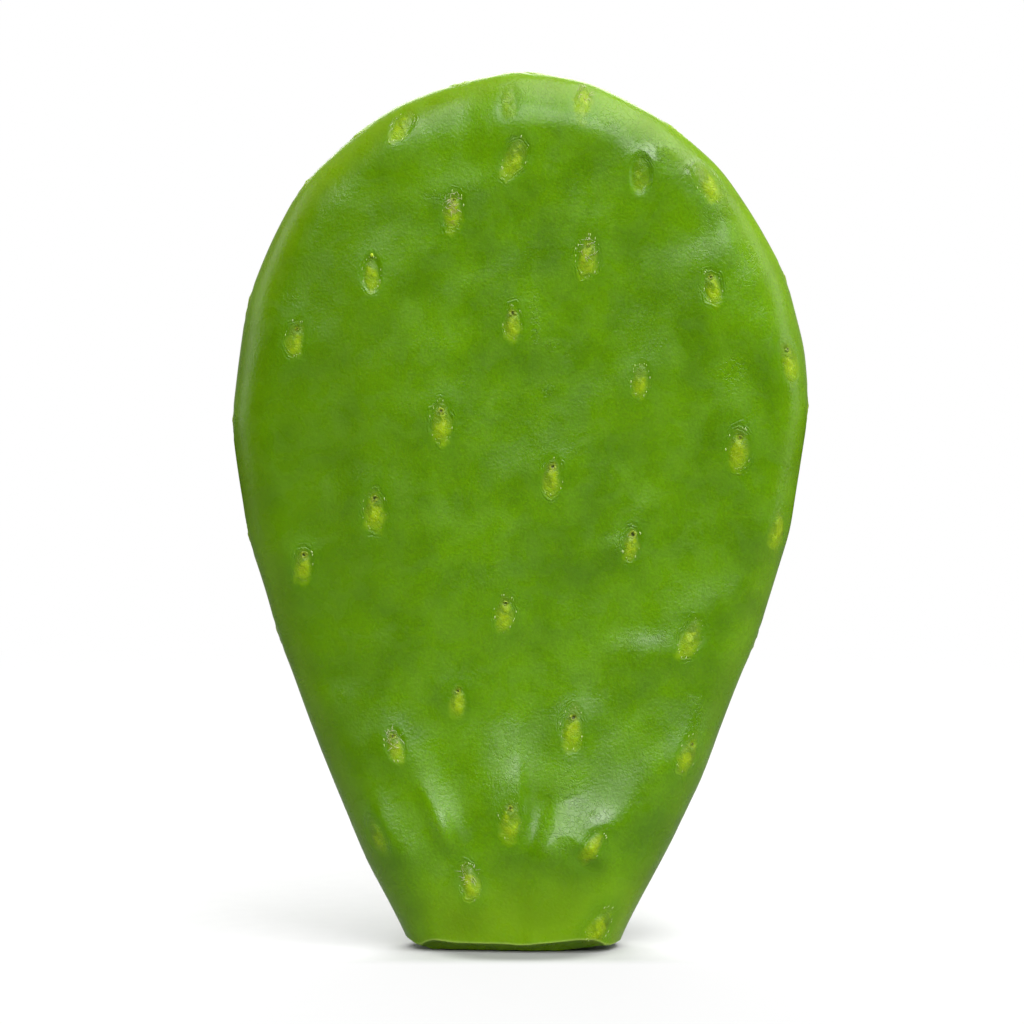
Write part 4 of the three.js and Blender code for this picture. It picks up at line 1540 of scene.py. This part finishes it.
# %% [markdown]
# ## A bud
#
# One scar near the top left has begun to shoot again. The bud is a small lump, rounder and yellower than
# the cushion below it, and it stands there once, so it is a ball pressed a little flat and no tree of
# nodes.

# %% The bud
BUD_SCAR = 3
BUD_AT = (0.05, 1.0)  # across and up its scar
BUD_RADIUS = 0.42
BUD_SHAPE = (0.9, 1.15, 0.8, 1.0)  # across, along and out

bud_mesh = bpy.data.meshes.new("bud")
bud_bm = bmesh.new()
bmesh.ops.create_uvsphere(bud_bm, u_segments=16, v_segments=10, radius=BUD_RADIUS)
bud_directions = Matrix([scars[BUD_SCAR][name].tolist() for name in ("across", "along", "out")])
bud_place = Matrix.Translation(Vector(scar_point(BUD_SCAR, *BUD_AT)))
bud_bm.transform(to_frame @ bud_place @ bud_directions.transposed().to_4x4() @ Matrix.Diagonal(BUD_SHAPE))
bud_bm.to_mesh(bud_mesh)
bud_bm.free()
bud_mesh.shade_smooth()
print("the bud has", len(bud_mesh.polygons), "faces")

# %% [markdown]
# ## Finishes of the small things
#
# A socket's ring is dried to a pale olive and its pit is dark. Beads are drops of the plant's own clear
# slime with a sharp highlight; their pale whitish green is a painted glint. The wool is off-white and the
# bristle stubs are straw-coloured. The bud has the yellow green of new growth.

# %% Socket, bead, wool and bud finishes
def small_finish(name, constants, gloss, deep, body, milk, patch_size, grain_size, grain_strength):
    """The finish of a small thing. Its gloss is the smoothest and the grain share of grained_material."""
    tones = {"deep": paint(*deep), "body": paint(*body), "milk": milk, "patch_size": patch_size,
             "grain_size": grain_size, "grain_strength": grain_strength}
    return grained_material(name, constants, tones, *gloss)


def socket_material():
    """Pale olive ring round a dark pit."""
    material, tree, shader, ring = small_finish(
        "areole_socket", {"IOR": 1.4, "Coat Weight": 0.2, "Coat Roughness": 0.15}, (0.3, 0.3),
        (104, 134, 0), (140, 164, 8), 0.006, 0.0012, 0.0003, 0.5)
    dark = ramp(attribute(tree, "pit"), 0.25, 0.85)
    plug(shader["Base Color"], mixed(dark, ring, paint(64, 76, 0)))
    folds = speckle(add(tree, "ShaderNodeTexCoord", {}, output="Object"), 2400.0)
    raise_bumps(shader, folds * 0.12)
    return material


# The beads' pale colour is a painted glint.
bead_glint_material = small_finish(
    "bead_painted_glint", {"IOR": 1.4, "Coat Weight": 1.0, "Coat Roughness": 0.05}, (0.08, 0.1),
    (150, 184, 70), (200, 218, 150), 0.02, 0.002, 0.0003, 0.3)[0]
wool_material = small_finish(
    "areole_wool", {"IOR": 1.5}, (0.35, 0.3),
    (178, 172, 96), (226, 228, 196), 0.02, 0.002, 0.0004, 0.3)[0]
bud_material = small_finish(
    "bud", {"IOR": 1.4, "Coat Weight": 0.3, "Coat Roughness": 0.1}, (0.3, 0.2),
    (158, 190, 0), (186, 214, 30), 0.01, 0.0006, 0.0002, 0.3)[0]

for name, places, make_tree, finish, measures in (
    ("areole_sockets", socket_places, socket_tree, socket_material(), SOCKET_SIZES),
    ("wet_beads", bead_places, bead_tree, bead_glint_material, BEAD_SIZES),
    ("areole_wool", wool_places, wool_tree, wool_material, WOOL_SIZES),
):
    small_thing = piece(name, grown(places, make_tree(finish), measures), finish)
    bpy.data.objects.remove(places)
    print(name, "has", len(small_thing.data.polygons), "faces")
bud = piece("bud", bud_mesh, bud_material)
print("and there is one", bud.name)

# %% [markdown]
# ## Light
#
# A waxy thing shows what it stands under. A large soft light hangs overhead, a little in front and to the
# right, so that whatever tilts upwards turns milky. A wide one in front, above the camera, puts the sheen
# on the folds and on the crazed places, and stays high enough that the flat of the face doesn't mirror it
# and keeps its full green. Tall soft lights stand well to both sides, and one behind the pad whitens the
# floor.

# %% Soft lights
LIGHTS = {  # where it is, what it aims at, width, height and watts
    "front_light": ((0.12, -1.0, 0.68), (0.0, 0.0, 0.1), 0.8, 0.42, 8),
    "top_light": ((0.36, -0.35, 0.965), (0.0, 0.0, 0.1), 0.9, 0.8, 9.8),
    "back_light": ((-0.1, 0.9, 0.9), (0.0, 0.1, 0.0), 1.2, 0.8, 15),
    "right_light": ((1.0, -0.3, 0.3), (0.0, 0.0, 0.1), 0.5, 0.9, 3.8),
    "left_light": ((-1.0, -0.2, 0.4), (0.0, 0.0, 0.1), 0.5, 0.9, 3.4),
}

for name, (place, aim, width, height, watts) in LIGHTS.items():
    light = bpy.data.lights.new(name, "AREA")
    light.shape = "RECTANGLE"
    light.size, light.size_y = width, height
    light.energy = watts
    lamp = bpy.data.objects.new(name, light)
    lamp.location = place
    lamp.rotation_euler = (Vector(aim) - Vector(place)).to_track_quat("-Z", "Y").to_euler()
    scene.collection.objects.link(lamp)
print(len(LIGHTS), "lights")

# %% The room
def white_room():
    """White where the camera looks, dark in front of the pad and grey elsewhere, as the pad sees it."""
    world = bpy.data.worlds.new("room")
    world.use_nodes = True
    tree = world.node_tree
    tree.nodes.clear()
    x, y, z = axes(add(tree, "ShaderNodeTexCoord", {}, output="Generated"))
    seen = add(tree, "ShaderNodeLightPath", {}, output="Is Camera Ray")
    white = add(tree, "ShaderNodeBackground", {"Color": WHITE, "Strength": 1.0})
    grey = add(tree, "ShaderNodeBackground", {"Color": WHITE, "Strength": ramp(y, -0.75, 0.1, 0.0, 0.35)})
    add(tree, "ShaderNodeOutputWorld", {
        "Surface": add(tree, "ShaderNodeMixShader", {0: seen, 1: grey, 2: white})})
    return world


scene.world = white_room()
scene.view_settings.view_transform = "Standard"
print("view transform:", scene.view_settings.view_transform)

# %% [markdown]
# ## The floor
#
# The pad stands on white paper that is lit until it has no edge. Under the foot and behind it a shadow is
# painted onto the paper; further off and in front it is blown out to plain white. To everything but the
# camera it is grey, or it would light the pad from below.

# %% The floor
FLOOR_HALF = 3.0
PAPER_GREYS = ((0.62, 0.62, 0.62, 1.0), (0.65, 0.65, 0.65, 1.0))
PAINTED_SHADOW_GREY, UNSEEN_GREY = (0.1, 0.1, 0.1, 1.0), (0.22, 0.22, 0.22, 1.0)
PAINTED_SHADOW_STRENGTH = 0.6


def oval_on_floor(place, moved_by, scale, outside, inside):
    """A mask that rises from an outer oval on the floor to an inner one."""
    there = add(place.tree, "ShaderNodeMapping", {"Vector": place, "Location": moved_by, "Scale": scale})
    from_middle = add(place.tree, "ShaderNodeVectorMath", {0: there}, output="Value", operation="LENGTH")
    return ramp(from_middle, outside, inside)


def paper_material():
    """White paper with a painted shadow by the foot, blown out further away."""
    material, tree, shader = new_material("floor", {"Roughness": 0.6, "Specular IOR Level": 0.2})
    place = add(tree, "ShaderNodeTexCoord", {}, output="Object")
    seen = add(tree, "ShaderNodeLightPath", {}, output="Is Camera Ray")
    x, y, z = axes(place)
    # Painted shadow on the paper: a broad one behind the foot, and a darker one under and just in front of it.
    shadow_painted_behind = oval_on_floor(place, (-0.2, 0.1, 0.0), (25.0, 15.0, 1.0), 1.1, 0.2) * ramp(y, -0.012, 0.03)
    shadow_painted_under_foot = oval_on_floor(place, (0.0, 0.385, 0.0), (45.0, 55.0, 1.0), 1.1, 0.6)
    fibres = add(tree, "ShaderNodeTexNoise", {"Scale": 900.0, "Detail": 2.0})
    shade = maths("MAXIMUM", shadow_painted_behind, shadow_painted_under_foot) * PAINTED_SHADOW_STRENGTH
    paper = mixed(shade, mixed(fibres, *PAPER_GREYS), PAINTED_SHADOW_GREY)
    plug(shader["Base Color"], mixed(seen, UNSEEN_GREY, paper))
    from_pad = add(tree, "ShaderNodeVectorMath", {0: place}, output="Value", operation="LENGTH")
    in_front = ramp(y, -0.018, -0.029, 0.0, 0.85) * seen
    blown_out = maths("MAXIMUM", ramp(from_pad, 0.25, 0.8), in_front)
    output = next(node for node in tree.nodes if node.type == "OUTPUT_MATERIAL").inputs["Surface"]
    surface = Wire(output.links[0].from_socket)
    haze = add(tree, "ShaderNodeEmission", {"Color": WHITE, "Strength": seen})
    plug(output, add(tree, "ShaderNodeMixShader", {0: blown_out, 1: surface, 2: haze}))
    return material


floor_mesh = bpy.data.meshes.new("floor")
corners = [(-FLOOR_HALF, -FLOOR_HALF, 0), (FLOOR_HALF, -FLOOR_HALF, 0), (FLOOR_HALF, FLOOR_HALF, 0),
           (-FLOOR_HALF, FLOOR_HALF, 0)]
floor_mesh.from_pydata(corners, [], [(0, 1, 2, 3)])
floor_mesh.materials.append(paper_material())
floor = bpy.data.objects.new("floor", floor_mesh)
scene.collection.objects.link(floor)
floor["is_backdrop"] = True
print("the floor is stage, not part of the pad")

# %% [markdown]
# ## The dressed size
#
# Last, the size of the dressed pad is set beside that of the solid and printed. The two are as wide and as
# tall within a tenth of a millimetre, and the dressed pad stands a millimetre past the solid in front and
# behind.

sizes = {"solid": [list(corner) for corner in SOLID_BOX], "dressed": [list(corner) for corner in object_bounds()]}
print("dressed:", [round(1000 * (b - a), 2) for a, b in zip(*sizes["dressed"])], "mm")
